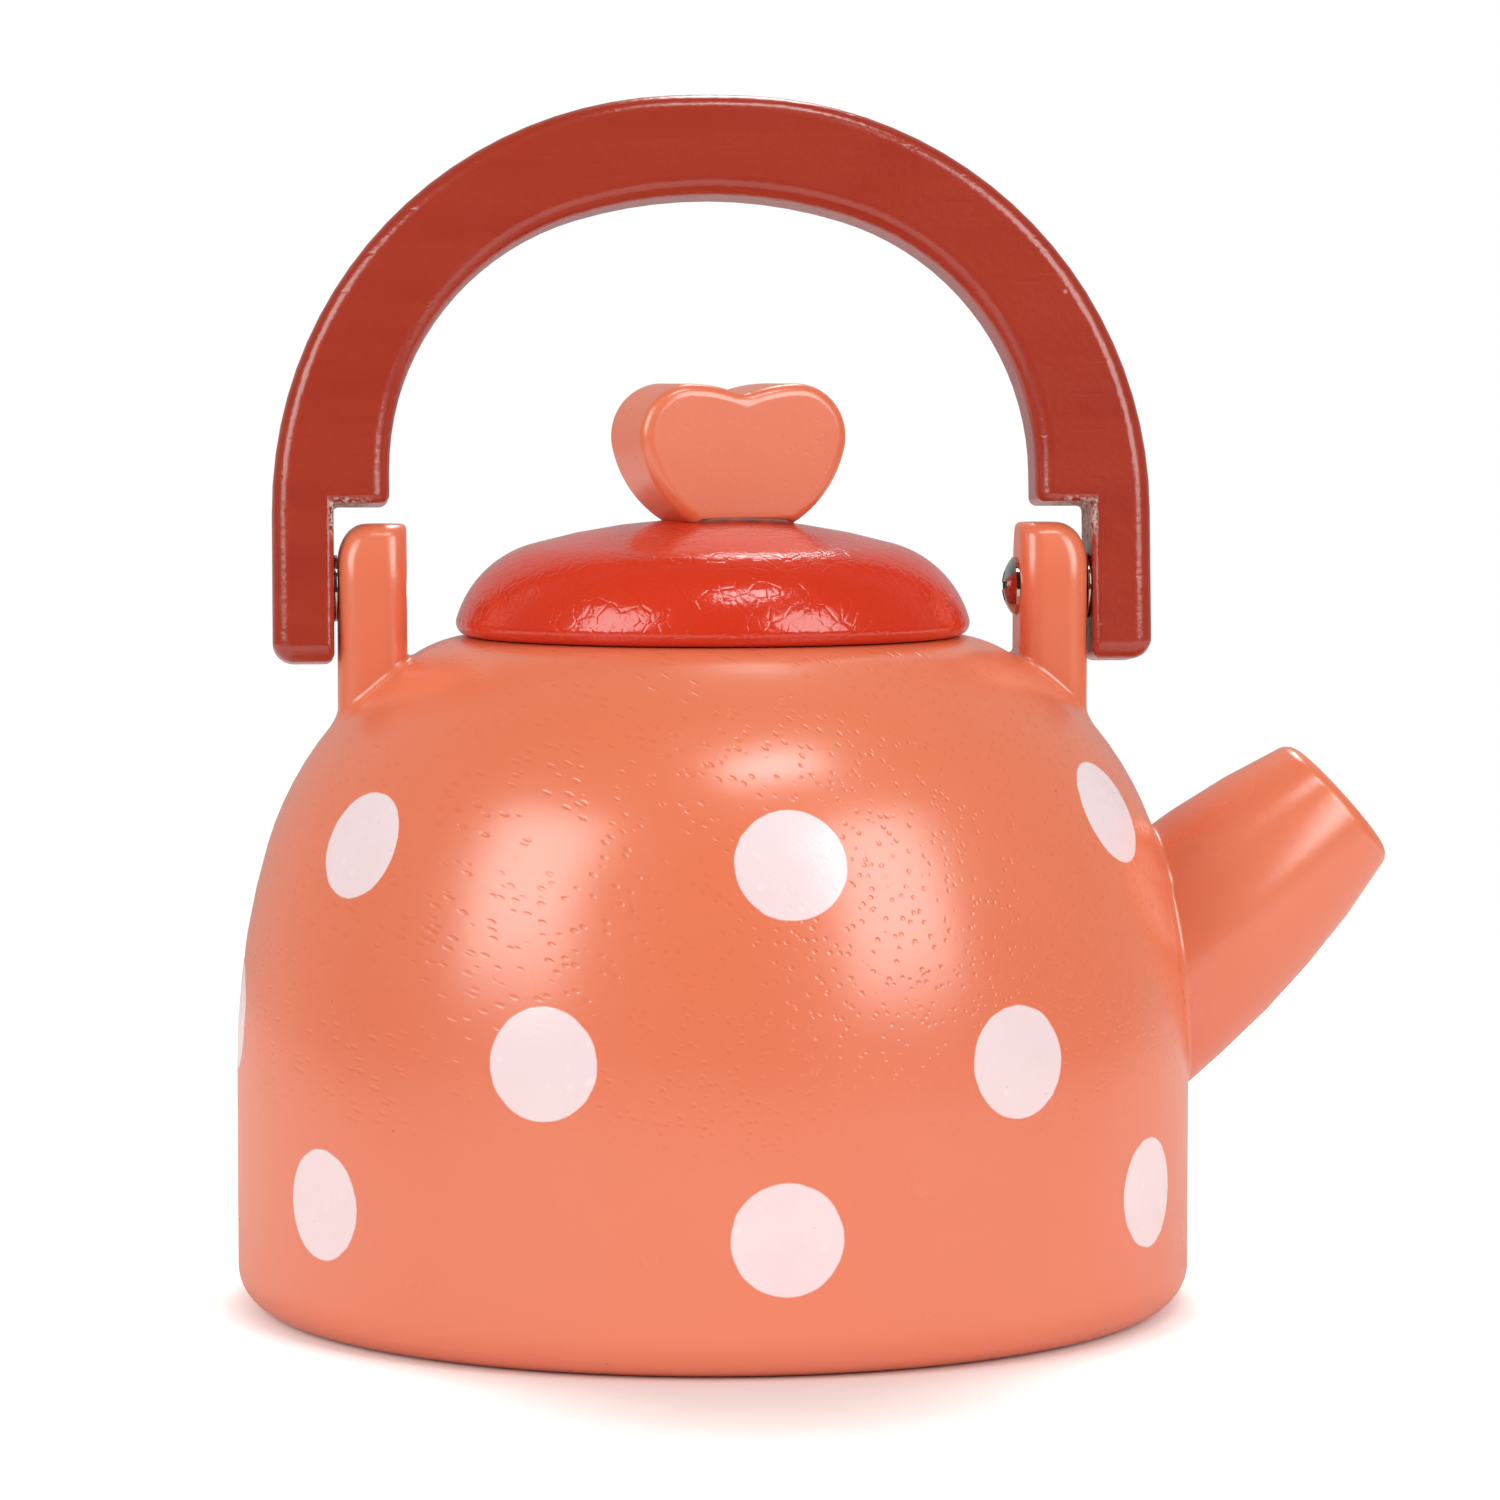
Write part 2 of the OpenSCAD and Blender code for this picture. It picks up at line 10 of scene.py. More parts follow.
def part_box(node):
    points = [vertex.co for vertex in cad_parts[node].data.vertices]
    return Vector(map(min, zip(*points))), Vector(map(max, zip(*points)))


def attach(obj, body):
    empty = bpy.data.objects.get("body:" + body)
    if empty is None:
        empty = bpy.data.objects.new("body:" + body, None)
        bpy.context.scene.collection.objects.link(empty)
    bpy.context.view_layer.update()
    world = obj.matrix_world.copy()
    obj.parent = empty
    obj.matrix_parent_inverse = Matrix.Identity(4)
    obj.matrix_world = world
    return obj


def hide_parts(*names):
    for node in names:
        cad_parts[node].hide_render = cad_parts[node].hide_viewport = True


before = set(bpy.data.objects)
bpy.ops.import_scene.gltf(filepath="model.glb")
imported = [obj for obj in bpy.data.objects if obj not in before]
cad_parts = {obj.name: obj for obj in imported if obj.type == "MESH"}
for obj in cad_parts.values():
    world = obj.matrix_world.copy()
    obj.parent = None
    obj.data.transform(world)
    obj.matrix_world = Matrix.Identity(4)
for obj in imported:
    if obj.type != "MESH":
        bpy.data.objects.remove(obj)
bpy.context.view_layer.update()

bl_info = {
    "name": "Wooden Toy Kettle",
    "version": (1, 0, 0),
    "blender": (4, 5, 0),
    "location": "3D View > Sidebar > Toy Kettle",
    "description": "Turned and painted toy kettle with a heart knob, a spout and a swinging handle",
    "category": "Add Mesh",
}

MM = 0.001
WELD = 0.01 * MM
SHARP_ANGLE = math.radians(38)
QUARTER = math.pi / 2
LATHE_STEPS = 160
SPOUT_STEPS = 96
PIVOT_STEPS = 48
POST_STEPS = 24
CORNER_STEPS = 8
ARC_STEP = math.radians(4)
HALVINGS = 40

body_low, body_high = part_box("body")
lid_low, lid_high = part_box("lid")
knob_low, knob_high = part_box("lid_knob")
lug_low, lug_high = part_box("right_lug")
screw_low, screw_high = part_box("right_pivot_screw")
sunk_low, sunk_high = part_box("left_pivot_screw")
washer_low, washer_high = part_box("right_washer")

# Azimuth in degrees from the front towards the spout, and height in millimetres.
DOTS = (
    (-55.3, 58.2), (4.5, 57.5), (59.2, 61.1), (119.0, 57.5), (179.0, 57.5), (239.0, 57.5),
    (-87.4, 35.3), (-24.4, 35.3), (32.2, 34.5), (152.0, 35.3), (212.0, 35.3),
    (-56.4, 16.8), (3.3, 16.0), (57.1, 16.8), (119.0, 16.8), (179.0, 16.8), (239.0, 16.8),
)

# Turn that lays the wood's grain, which runs to the front right and slightly down, along X.
GRAIN_TURN = (0.0, math.radians(-17), math.radians(49))


def length(name, description, default):
    """A length in metres that a user may change."""
    return bpy.props.FloatProperty(
        name=name, description=description, default=default, min=0.0, precision=5, unit="LENGTH")


def angle(name, description, degrees):
    """An angle that a user may change."""
    return bpy.props.FloatProperty(
        name=name, description=description, default=math.radians(degrees), subtype="ANGLE")


def paint(name, description, red, green, blue):
    """A colour that a user may change, from its screen values of 0 to 255."""
    return bpy.props.FloatVectorProperty(
        name=name, description=description, default=linear(red, green, blue),
        size=4, min=0.0, max=1.0, subtype="COLOR")


def linear(red, green, blue):
    """Screen values of 0 to 255 as a linear colour."""
    levels = []
    for value in (red, green, blue):
        share = value / 255
        levels.append(share / 12.92 if share <= 0.04045 else ((share + 0.055) / 1.055) ** 2.4)
    return (*levels, 1.0)


class ToyKettleBody(bpy.types.PropertyGroup):
    """Sizes of the turned body."""

    width: length("Width", "Largest width of the body", body_high.y - body_low.y)
    height: length("Height", "Height of the mouth's rim", body_high.z)
    base_edge: length("Base edge", "Rounding of the edge it stands on", 5 * MM)
    side_curve: length("Side curve", "Radius of the long curve of the side", 92 * MM)
    side_turn: angle("Side turn", "Angle that the long curve covers", 16.5)
    shoulder_curve: length("Shoulder curve", "Radius of the shoulder", 40 * MM)
    shoulder_turn: angle("Shoulder turn", "Angle at which the shoulder meets the crown", 60)
    crown_curve: length("Crown curve", "Radius that rolls into the rim", 14 * MM)
    mouth: length("Mouth", "Width of the opening", 50 * MM)
    mouth_edge: length("Mouth edge", "Rounding of the opening's edge", 0.8 * MM)
    floor: length("Floor", "Wood left under the cavity", 14 * MM)
    cavity_corner: length("Cavity corner", "Rounding at the cavity's floor", 5 * MM)
    dot: length("Dot", "Width of a painted dot", 12.8 * MM)


class ToyKettleSpout(bpy.types.PropertyGroup):
    """Sizes of the spout."""

    reach: length("Reach", "Distance of the tip's middle from the axis", 76.8 * MM)
    tip_height: length("Tip height", "Height of the tip's middle", 60.2 * MM)
    tilt: angle("Tilt", "Rise of the spout", 41.4)
    tip_width: length("Tip width", "Width of the flat end before rounding", 18 * MM)
    rim: length("Rim", "Rounding of the end", 2 * MM)
    side_curve: length("Side curve", "Radius of the swelling side", 111 * MM)
    taper: angle("Taper", "Slope of the side at the end", 16.5)
    root: length("Root", "Length that is let into the body past the swell", 9 * MM)
    fillet: length("Fillet", "Paint fillet at the body", 0.8 * MM)


class ToyKettleLugs(bpy.types.PropertyGroup):
    """Sizes of the two posts that carry the handle."""

    inner_face: length("Inner face", "Distance of the inner face from the axis", lug_low.x)
    thickness: length("Thickness", "Thickness across the axis", lug_high.x - lug_low.x)
    depth: length("Depth", "Width from front to back", lug_high.y - lug_low.y)
    top: length("Top", "Height of the top", lug_high.z)
    foot: length("Foot", "Height of the end inside the body", 63 * MM)
    outer_corner: length("Outer corner", "Width of the rounded outer top corner", 3.3 * MM)
    outer_fall: length("Outer fall", "Height of the rounded outer top corner", 4.8 * MM)
    inner_corner: length("Inner corner", "Rounding of the inner top corner", 0.6 * MM)
    top_edge: length("Top edge", "Rounding of the front and back top edges", 1.5 * MM)
    face_start: length("Face start", "Height at which front and back begin to curve in", 86.6 * MM)
    face_curve: length("Face curve", "Radius at which front and back curve in", 17 * MM)
    edge: length("Edge", "Rounding of the long edges", 2.6 * MM)
    hole: length("Hole", "Width of the bore for the screw", 3.6 * MM)
    fillet: length("Fillet", "Paint fillet at the body", 1.4 * MM)


class ToyKettleLid(bpy.types.PropertyGroup):
    """Sizes of the lid."""

    width: length("Width", "Width at which the lid's two curves would meet", 62.8 * MM)
    spigot_drop: length("Spigot drop", "Depth of the part inside the mouth", 6 * MM)
    spigot: length("Spigot", "Width of the part inside the mouth", 49.2 * MM)
    crown_curve: length("Crown curve", "Radius of the top", 80 * MM)
    shoulder_curve: length("Shoulder curve", "Radius of the side", 13 * MM)
    edge: length("Edge", "Rounding of the lower edge", 1.6 * MM)


class ToyKettleHeart(bpy.types.PropertyGroup):
    """Sizes of the heart on the lid."""

    width: length("Width", "Width over both lobes", 26.4 * MM)
    thickness: length("Thickness", "Thickness of the board", 12.5 * MM)
    lobe: length("Lobe", "Radius of a lobe", 6.35 * MM)
    top_curve: length("Top curve", "Radius from the top of a lobe to the cleft", 18 * MM)
    side_curve: length("Side curve", "Radius of the sides below the lobes", 14 * MM)
    foot: length("Foot", "Width where it meets the lid", 12.6 * MM)
    edge: length("Edge", "Rounding of the edges", 1.5 * MM)
    offset: length("Offset", "Distance from the lid's axis along its width", 2 * MM)
    turn: angle("Turn", "Turn towards the spout", 16)
    # A dark bead round the heart's foot, darker than the paints on either side.
    foot_bead: length("Glue", "Bead of glue round the foot", 0.45 * MM)


class ToyKettleHandle(bpy.types.PropertyGroup):
    """Sizes of the bowed handle, measured in its own plane from the pivots."""

    pivot: length("Pivot", "Height of the pivots", 86.3 * MM)
    lean: angle("Lean", "Lean to the back at rest", 5.5)
    thickness: length("Thickness", "Thickness of the board", 10 * MM)
    rise: length("Rise", "Height of the top over the pivots", 59.1 * MM)
    grip: length("Grip", "Width of the board at the top", 12.2 * MM)
    outer_face: length("Outer face", "Distance of a leg's outer face from the axis", 52.9 * MM)
    inner_face: length("Inner face", "Distance of a leg's inner face from the axis", 38.9 * MM)
    cheek: length("Cheek", "Distance of the face beside the post from the axis", 45.6 * MM)
    outer_crown: length("Outer crown", "Outer radius at the top", 113 * MM)
    outer_side: length("Outer side", "Outer radius at the sides", 50 * MM)
    inner_crown: length("Inner crown", "Inner radius at the top", 55.7 * MM)
    inner_side: length("Inner side", "Inner radius at the sides", 32 * MM)
    notch: length("Notch", "Height of the notch over the pivots", 9.95 * MM)
    drop: length("Drop", "Length of a leg below the pivots", 9 * MM)
    corner: length("Corner", "Rounding of a leg's outer lower corner", 2.6 * MM)
    small_corner: length("Small corner", "Rounding of the standing corners beside the post", 1.1 * MM)
    notch_corner: length("Notch corner", "Rounding in the corner of the notch", 0.7 * MM)
    edge: length("Edge", "Rounding of the long edges", 2.3 * MM)
    notch_edge: length("Notch edge", "Rounding of the edges beside the post", 1 * MM)


class ToyKettlePivots(bpy.types.PropertyGroup):
    """Sizes of the pivot screws and washers."""

    head: length("Head", "Width of a screw's head", 7 * MM)
    head_height: length("Head height", "Height of a screw's head", 1.7 * MM)
    head_rim: length("Head rim", "Straight edge of a screw's head", 0.4 * MM)
    sink: length("Sink", "Depth of the left head's seat in its post", 1.9 * MM)
    head_play: length("Head play", "Room round the sunk head", 0.05 * MM)
    shank: length("Shank", "Width of a screw's shank", 3.5 * MM)
    point: length("Point", "Length of a screw's point", 1.6 * MM)
    slot_width: length("Slot width", "Width of the cross slots", 0.9 * MM)
    slot_length: length("Slot length", "Length of the cross slots", 3.6 * MM)
    slot_depth: length("Slot depth", "Depth of the cross slots", 0.9 * MM)
    washer: length("Washer", "Width of a washer", washer_high.y - washer_low.y)


class ToyKettlePaints(bpy.types.PropertyGroup):
    """Colours of the paints, wood and metal."""

    coral: paint("Coral", "Paint of the body, spout, posts and heart", 239, 127, 88)
    coral_deep: paint("Deep coral", "Thicker paint", 237, 118, 78)
    dirt: paint("Dirt", "Specks in the coral paint", 150, 70, 46)
    # Darker coral for the pores: painted shade in the pits of the wood.
    pores: paint("Pores", "Coral paint in the pores of the wood", 230, 114, 72)
    dots: paint("Dots", "Paint of the dots", 250, 229, 231)
    dot_clouds: paint("Dot clouds", "Thinner paint of the dots", 247, 218, 219)
    dot_pinholes: paint("Dot pinholes", "Coral that shows through the dots", 226, 160, 150)
    # Lighter colour of the lumps in the dots: painted highlight on their tops.
    dot_lump_highlights: paint("Dot lumps", "Lumps in the paint of the dots", 255, 241, 237)
    lid_red: paint("Lid red", "Paint of the lid", 219, 58, 28)
    lid_deep: paint("Deep lid red", "Thicker paint of the lid", 209, 48, 22)
    handle_red: paint("Handle red", "Paint of the handle", 170, 55, 34)
    handle_deep: paint("Deep handle red", "Grain under the paint of the handle", 160, 47, 29)
    handle_dust: paint("Handle dust", "Dust in the paint of the handle", 222, 140, 120)
    raw_wood: paint("Raw wood", "Wood in the rough corners of the handle", 212, 194, 184)
    raw_grit: paint("Raw grit", "Dark grit in the rough corners of the handle", 74, 50, 44)
    # Colours of the dark bead round the heart's foot, darker than the coral and the lid red.
    foot_bead: paint("Glue", "Bead of tinted glue under the heart", 120, 44, 30)
    foot_bead_light: paint("Thin glue", "Thinner glue under the heart", 168, 58, 38)
    beech: paint("Beech", "Bare wood of the dowel", 214, 176, 132)
    beech_deep: paint("Deep beech", "Late wood of the dowel", 186, 142, 98)
    beech_rays: paint("Beech rays", "Rays in the wood of the dowel", 150, 104, 68)
    nickel: paint("Nickel", "Plating of the screws and washers", 196, 192, 188)
    nickel_dull: paint("Dull nickel", "Duller plating of the screws and washers", 150, 146, 142)
    # The floor's colour and mottle are tinted pink as painted bounce light from the coral body.
    floor: paint("Floor", "Pale floor", 240, 225, 221)
    floor_mottle: paint("Floor mottle", "Slight mottle of the floor", 234, 219, 215)


class ToyKettleSettings(bpy.types.PropertyGroup):
    """Everything that a user would change on the kettle."""

    body: bpy.props.PointerProperty(type=ToyKettleBody)
    spout: bpy.props.PointerProperty(type=ToyKettleSpout)
    lugs: bpy.props.PointerProperty(type=ToyKettleLugs)
    lid: bpy.props.PointerProperty(type=ToyKettleLid)
    heart: bpy.props.PointerProperty(type=ToyKettleHeart)
    handle: bpy.props.PointerProperty(type=ToyKettleHandle)
    pivots: bpy.props.PointerProperty(type=ToyKettlePivots)
    paints: bpy.props.PointerProperty(type=ToyKettlePaints)


class Socket:
    """An output of a shader node, whose arithmetic adds Math nodes."""

    def __init__(self, finish, output):
        self.finish = finish
        self.output = output

    def __add__(self, other):
        return self.finish.math("ADD", self, other)

    def __radd__(self, other):
        return self.finish.math("ADD", other, self)

    def __sub__(self, other):
        return self.finish.math("SUBTRACT", self, other)

    def __rsub__(self, other):
        return self.finish.math("SUBTRACT", other, self)

    def __mul__(self, other):
        return self.finish.math("MULTIPLY", self, other)

    def __rmul__(self, other):
        return self.finish.math("MULTIPLY", other, self)

    def __lt__(self, other):
        return self.finish.math("LESS_THAN", self, other)


class Finish:
    """A node tree that is being mixed for a material or the world."""

    def __init__(self, tree):
        self.tree = tree
        self.tree.nodes.clear()

    def node(self, kind, settings=None, sockets=None, out=0):
        """Add a node, set it up, fill or link its sockets and return one of its outputs."""
        made = self.tree.nodes.new(kind)
        for key, value in (settings or {}).items():
            setattr(made, key, value)
        for key, value in (sockets or {}).items():
            if isinstance(value, Socket):
                self.tree.links.new(value.output, made.inputs[key])
            else:
                made.inputs[key].default_value = value
        return Socket(self, made.outputs[out]) if made.outputs else None

    def math(self, operation, first, second=0.0):
        """A value worked out from one or two others."""
        return self.node("ShaderNodeMath", {"operation": operation}, {0: first, 1: second})

    def place(self):
        """Where a point lies on its piece."""
        return self.node("ShaderNodeTexCoord", out="Object")

    def along(self, axis, place):
        """How far a place lies along one axis."""
        return self.node("ShaderNodeSeparateXYZ", {}, {"Vector": place}, axis)

    def far(self, place):
        """How far a place lies from the origin."""
        return self.node("ShaderNodeVectorMath", {"operation": "LENGTH"}, {0: place}, "Value")

    def noise(self, place, scale, detail=2.0, roughness=0.5, distortion=0.0):
        """Clouds between 0 and 1."""
        return self.node(
            "ShaderNodeTexNoise", {},
            {"Vector": place, "Scale": scale, "Detail": detail, "Roughness": roughness,
             "Distortion": distortion}, "Fac")

    def turned(self, place, location=(0.0, 0.0, 0.0), rotation=(0.0, 0.0, 0.0), scale=(1.0, 1.0, 1.0)):
        """A place that is scaled, turned and moved, in this order."""
        return self.node("ShaderNodeMapping", {}, {
            "Vector": place, "Location": location, "Rotation": rotation, "Scale": scale})

    def ramp(self, value, start, end):
        """A smooth step from 0 at start to 1 at end."""
        return self.node(
            "ShaderNodeMapRange", {"interpolation_type": "SMOOTHSTEP"},
            {"Value": value, "From Min": start, "From Max": end})

    def blend(self, share, first, second):
        """A colour between two others."""
        return self.node(
            "ShaderNodeMix", {"data_type": "RGBA"}, {0: share, 6: first, 7: second}, 2)

    def specks(self, place, scale, size, share):
        """Small scattered spots, 1 in the middle of each, on a share of the cells."""
        settings = {"feature": "F1", "voronoi_dimensions": "3D"}
        sockets = {"Vector": place, "Scale": scale}
        distance = self.node("ShaderNodeTexVoronoi", settings, sockets, "Distance")
        tint = self.node("ShaderNodeTexVoronoi", settings, sockets, "Color")
        chance = self.node("ShaderNodeSeparateColor", {}, {"Color": tint}, "Red")
        core = 0.35 * size
        return self.ramp(distance, size, core) * (chance < share)

    def bump(self, height):
        """A normal from a height in metres."""
        return self.node("ShaderNodeBump", {}, {"Height": height, "Distance": 1.0, "Strength": 1.0})

    def surface(self, sockets):
        """The shader that closes the finish."""
        shader = self.node("ShaderNodeBsdfPrincipled", {}, sockets)
        self.node("ShaderNodeOutputMaterial", {}, {"Surface": shader})


def new_finish(name):
    """A new material and the finish that is mixed in it."""
    material = bpy.data.materials.new(name)
    material.use_nodes = True
    return material, Finish(material.node_tree)


def coral_paint(paints, dot_centres=(), dot_radius=0.0):
    """Glossy coral paint over open-pored wood, whose pores are painted darker as painted shade, with dots
    where centres are given.
    """
    material, mix = new_finish("coral_dotted_paint" if dot_centres else "coral_gloss_paint")
    place = mix.place()
    grain = mix.turned(mix.turned(place, rotation=GRAIN_TURN), scale=(0.3, 1.0, 1.0))
    cloud = mix.noise(place, 24.0, 3.0)
    base = mix.blend(mix.ramp(cloud, 0.35, 0.8) * 0.55, paints.coral, paints.coral_deep)
    dirt = mix.specks(place, 300.0, 0.07, 0.12)
    base = mix.blend(dirt * 0.45, base, paints.dirt)
    upper = mix.ramp(mix.along("Z", place), 15 * MM, 45 * MM)
    open_wood = mix.ramp(mix.noise(place, 60.0), 0.2, 0.5) * upper
    pores = mix.specks(grain, 1000.0, 0.33, 1.0) * open_wood
    pore_depth = 0.034 * MM if dot_centres else 0.006 * MM
    peel = mix.noise(place, 420.0)
    height = peel * (0.01 * MM) - pores * pore_depth
    rough = 0.22 + 0.08 * mix.noise(place, 90.0)
    if dot_centres:
        # Painted shade: the pores are painted darker coral, on top of their real bump.
        base = mix.blend(pores * 0.4, base, paints.pores)
        inside = dot_mask(mix, place, dot_centres, dot_radius)
        thin = mix.ramp(mix.noise(place, 160.0, 3.0), 0.45, 0.75)
        pinholes = mix.specks(place, 800.0, 0.13, 0.1)
        # Lumps in the dots are raised in the bump and also painted lighter, as painted highlights.
        lumps = mix.specks(place, 420.0, 0.3, 0.3)
        shade = mix.blend(thin * 0.3, paints.dots, paints.dot_clouds)
        shade = mix.blend(pinholes * 0.6, shade, paints.dot_pinholes)
        # Painted highlight: the lumps are painted lighter than the dot paint.
        shade = mix.blend(lumps * 0.6, shade, paints.dot_lump_highlights)
        base = mix.blend(inside, base, shade)
        height = height * (1 - 0.7 * inside) + inside * (0.04 * MM + 0.02 * MM * lumps)
    mix.surface({"Base Color": base, "Roughness": rough, "Normal": mix.bump(height), "IOR": 1.95})
    return material


def dot_mask(mix, place, centres, radius):
    """1 inside the painted dots and 0 outside, with a slightly unsteady edge."""
    blur = 0.12 * MM
    wobble = (mix.noise(place, 500.0) - 0.5) * (0.3 * MM)
    nearest = None
    for centre in centres:
        gap = mix.node("ShaderNodeVectorMath", {"operation": "DISTANCE"}, {0: place, 1: centre}, "Value")
        nearest = gap if nearest is None else mix.math("MINIMUM", nearest, gap)
    return mix.ramp(nearest + wobble, radius + blur, radius - blur)


def lid_paint(paints):
    """Thick red lacquer that has dried with a wrinkled skin."""
    material, mix = new_finish("lid_red_lacquer")
    place = mix.place()
    cloud = mix.noise(place, 40.0, 3.0)
    base = mix.blend(mix.ramp(cloud, 0.3, 0.75) * 0.6, paints.lid_red, paints.lid_deep)
    wrinkle = mix.noise(place, 800.0, distortion=1.0)
    swell = mix.noise(place, 250.0)
    cracks = mix.node(
        "ShaderNodeTexVoronoi", {"feature": "DISTANCE_TO_EDGE"},
        {"Vector": place, "Scale": 480.0, "Randomness": 1.0}, "Distance")
    height = wrinkle * (0.05 * MM) + swell * (0.05 * MM) + mix.ramp(cracks, 0.0, 0.12) * (0.02 * MM)
    rough = 0.12 + 0.08 * wrinkle
    mix.surface({"Base Color": base, "Roughness": rough, "Normal": mix.bump(height), "IOR": 1.7})
    return material


def handle_paint(paints, sizes):
    """Satin dark red paint, brushed along the board, with grain and specks under it."""
    material, mix = new_finish("handle_red_satin")
    place = mix.place()
    grain = mix.turned(place, scale=(0.15, 1.0, 1.0))
    cloud = mix.noise(grain, 220.0, 3.0)
    base = mix.blend(mix.ramp(cloud, 0.35, 0.75) * 0.6, paints.handle_red, paints.handle_deep)
    dust = mix.specks(place, 260.0, 0.1, 0.16)
    base = mix.blend(dust * 0.8, base, paints.handle_dust)
    pores = mix.specks(grain, 900.0, 0.32, 0.45)
    height = cloud * (0.02 * MM) + mix.noise(place, 1100.0) * (0.05 * MM) - pores * (0.025 * MM)
    raw = raw_corners(mix, place, sizes)
    grit = mix.blend(mix.ramp(mix.noise(place, 2400.0), 0.48, 0.6), paints.raw_wood, paints.raw_grit)
    base = mix.blend(raw, base, grit)
    rough = 0.18 + 0.1 * mix.noise(place, 120.0) + 0.5 * raw
    mix.surface({"Base Color": base, "Roughness": rough, "Normal": mix.bump(height), "IOR": 1.75})
    return material


def raw_corners(mix, place, sizes):
    """Where the saw left the corners of the handle's notches rough and the paint is thin."""
    board = mix.node("ShaderNodeMapping", {"vector_type": "TEXTURE"}, {
        "Vector": place, "Location": (0.0, 0.0, sizes.pivot), "Rotation": (-sizes.lean, 0.0, 0.0)})
    across = mix.math("ABSOLUTE", mix.along("X", board)) - sizes.cheek
    along = mix.along("Z", board) - sizes.notch
    depth = mix.math("MAXIMUM", across, along)
    near = mix.ramp(across * across + along * along, (5 * MM) ** 2, (2 * MM) ** 2)
    flecks = mix.ramp(mix.noise(place, 1300.0, 3.0), 0.4, 0.55)
    return mix.ramp(depth, 0.8 * MM, 0.3 * MM) * near * flecks


def foot_bead_finish(paints):
    """A dark red-brown bead round the heart's foot, with lumps in its surface."""
    material, mix = new_finish("dark_foot_bead")
    place = mix.place()
    lumps = mix.noise(place, 900.0)
    base = mix.blend(mix.ramp(lumps, 0.4, 0.7) * 0.6, paints.foot_bead, paints.foot_bead_light)
    relief = mix.bump(lumps * (0.1 * MM))
    mix.surface({"Base Color": base, "Roughness": 0.3 + 0.15 * lumps, "Normal": relief})
    return material


def bare_beech(paints):
    """Sanded beech with short rays along the grain."""
    material, mix = new_finish("bare_beech")
    place = mix.place()
    grain = mix.turned(place, scale=(1.0, 1.0, 0.08))
    rings = mix.noise(grain, 900.0, 4.0, 0.6)
    rays = mix.specks(grain, 1400.0, 0.35, 0.4)
    base = mix.blend(mix.ramp(rings, 0.35, 0.7), paints.beech, paints.beech_deep)
    base = mix.blend(rays * 0.5, base, paints.beech_rays)
    relief = mix.bump(rings * (0.03 * MM))
    mix.surface({"Base Color": base, "Roughness": 0.6 + 0.15 * rings, "Normal": relief})
    return material


def bright_nickel(paints):
    """Nickel plate with fine polishing scratches."""
    material, mix = new_finish("bright_nickel")
    place = mix.place()
    scratch = mix.noise(mix.turned(place, scale=(1.0, 0.15, 1.0)), 2600.0, 3.0)
    dull = mix.ramp(mix.noise(place, 700.0), 0.35, 0.75) * 0.4
    base = mix.blend(dull, paints.nickel, paints.nickel_dull)
    rough = 0.06 + 0.08 * scratch
    relief = mix.bump(scratch * (0.001 * MM))
    mix.surface({"Base Color": base, "Metallic": 1.0, "Roughness": rough, "Normal": relief})
    return material


def arc(centre_x, centre_z, radius, start, end):
    """Points along an arc in the XZ plane, from one angle to another."""
    steps = max(2, math.ceil(abs(end - start) / ARC_STEP))
    turns = [start + (end - start) * step / steps for step in range(steps + 1)]
    return [Vector((centre_x + radius * math.cos(t), 0, centre_z + radius * math.sin(t))) for t in turns]


def line(start, end, steps):
    """Points from one place to another, without the first."""
    return [start.lerp(end, (step + 1) / steps) for step in range(steps)]


def spot(x, z):
    """A point in the XZ plane."""
    return Vector((x, 0, z))


def tidy(bm):
    """Merge doubled points and turn every face outwards."""
    bmesh.ops.remove_doubles(bm, verts=bm.verts, dist=WELD)
    bmesh.ops.recalc_face_normals(bm, faces=bm.faces)


def turn_on_lathe(profile, steps=LATHE_STEPS, ring=False):
    """A closed shape turned about Z from a profile that starts and ends on the axis, or closes in a ring."""
    bm = bmesh.new()
    points = [bm.verts.new(point) for point in profile]
    edges = [bm.edges.new(pair) for pair in zip(points, points[1:])]
    if ring:
        edges.append(bm.edges.new((points[-1], points[0])))
    bmesh.ops.spin(
        bm, geom=points + edges, cent=(0, 0, 0), axis=(0, 0, 1), angle=math.tau, steps=steps,
        use_merge=True)
    tidy(bm)
    return bm


def saw_board(outline, thickness):
    """A board of an outline in the XZ plane, with its middle at Y = 0."""
    bm = bmesh.new()
    front = bm.faces.new([bm.verts.new((p.x, -thickness / 2, p.z)) for p in outline])
    made = bmesh.ops.extrude_face_region(bm, geom=[front])["geom"]
    moved = [item for item in made if isinstance(item, bmesh.types.BMVert)]
    bmesh.ops.translate(bm, verts=moved, vec=(0, thickness, 0))
    bmesh.ops.recalc_face_normals(bm, faces=bm.faces)
    return bm


def board_faces(bm):
    """The front and back faces of a sawn board."""
    return sorted(bm.faces, key=lambda face: len(face.verts))[-2:]


def weigh_edges(bm, corner_share, rim_share=lambda edge: 1.0):
    """Say how far each rim of a board's faces and each corner across it is rounded."""
    weights = bm.edges.layers.float.new("bevel_weight_edge")
    rims = {edge for face in board_faces(bm) for edge in face.edges}
    for edge in bm.edges:
        if edge in rims:
            edge[weights] = rim_share(edge)
        elif edge.calc_face_angle() > SHARP_ANGLE:
            edge[weights] = corner_share(edge)


def soften(piece, radius):
    """Round a piece's weighed edges and keep its faces flat."""
    edges = piece.modifiers.new("soft_edges", "BEVEL")
    edges.limit_method = "WEIGHT"
    edges.width = radius
    edges.segments = 6
    edges.profile = 0.5
    edges.use_clamp_overlap = False
    edges.harden_normals = True


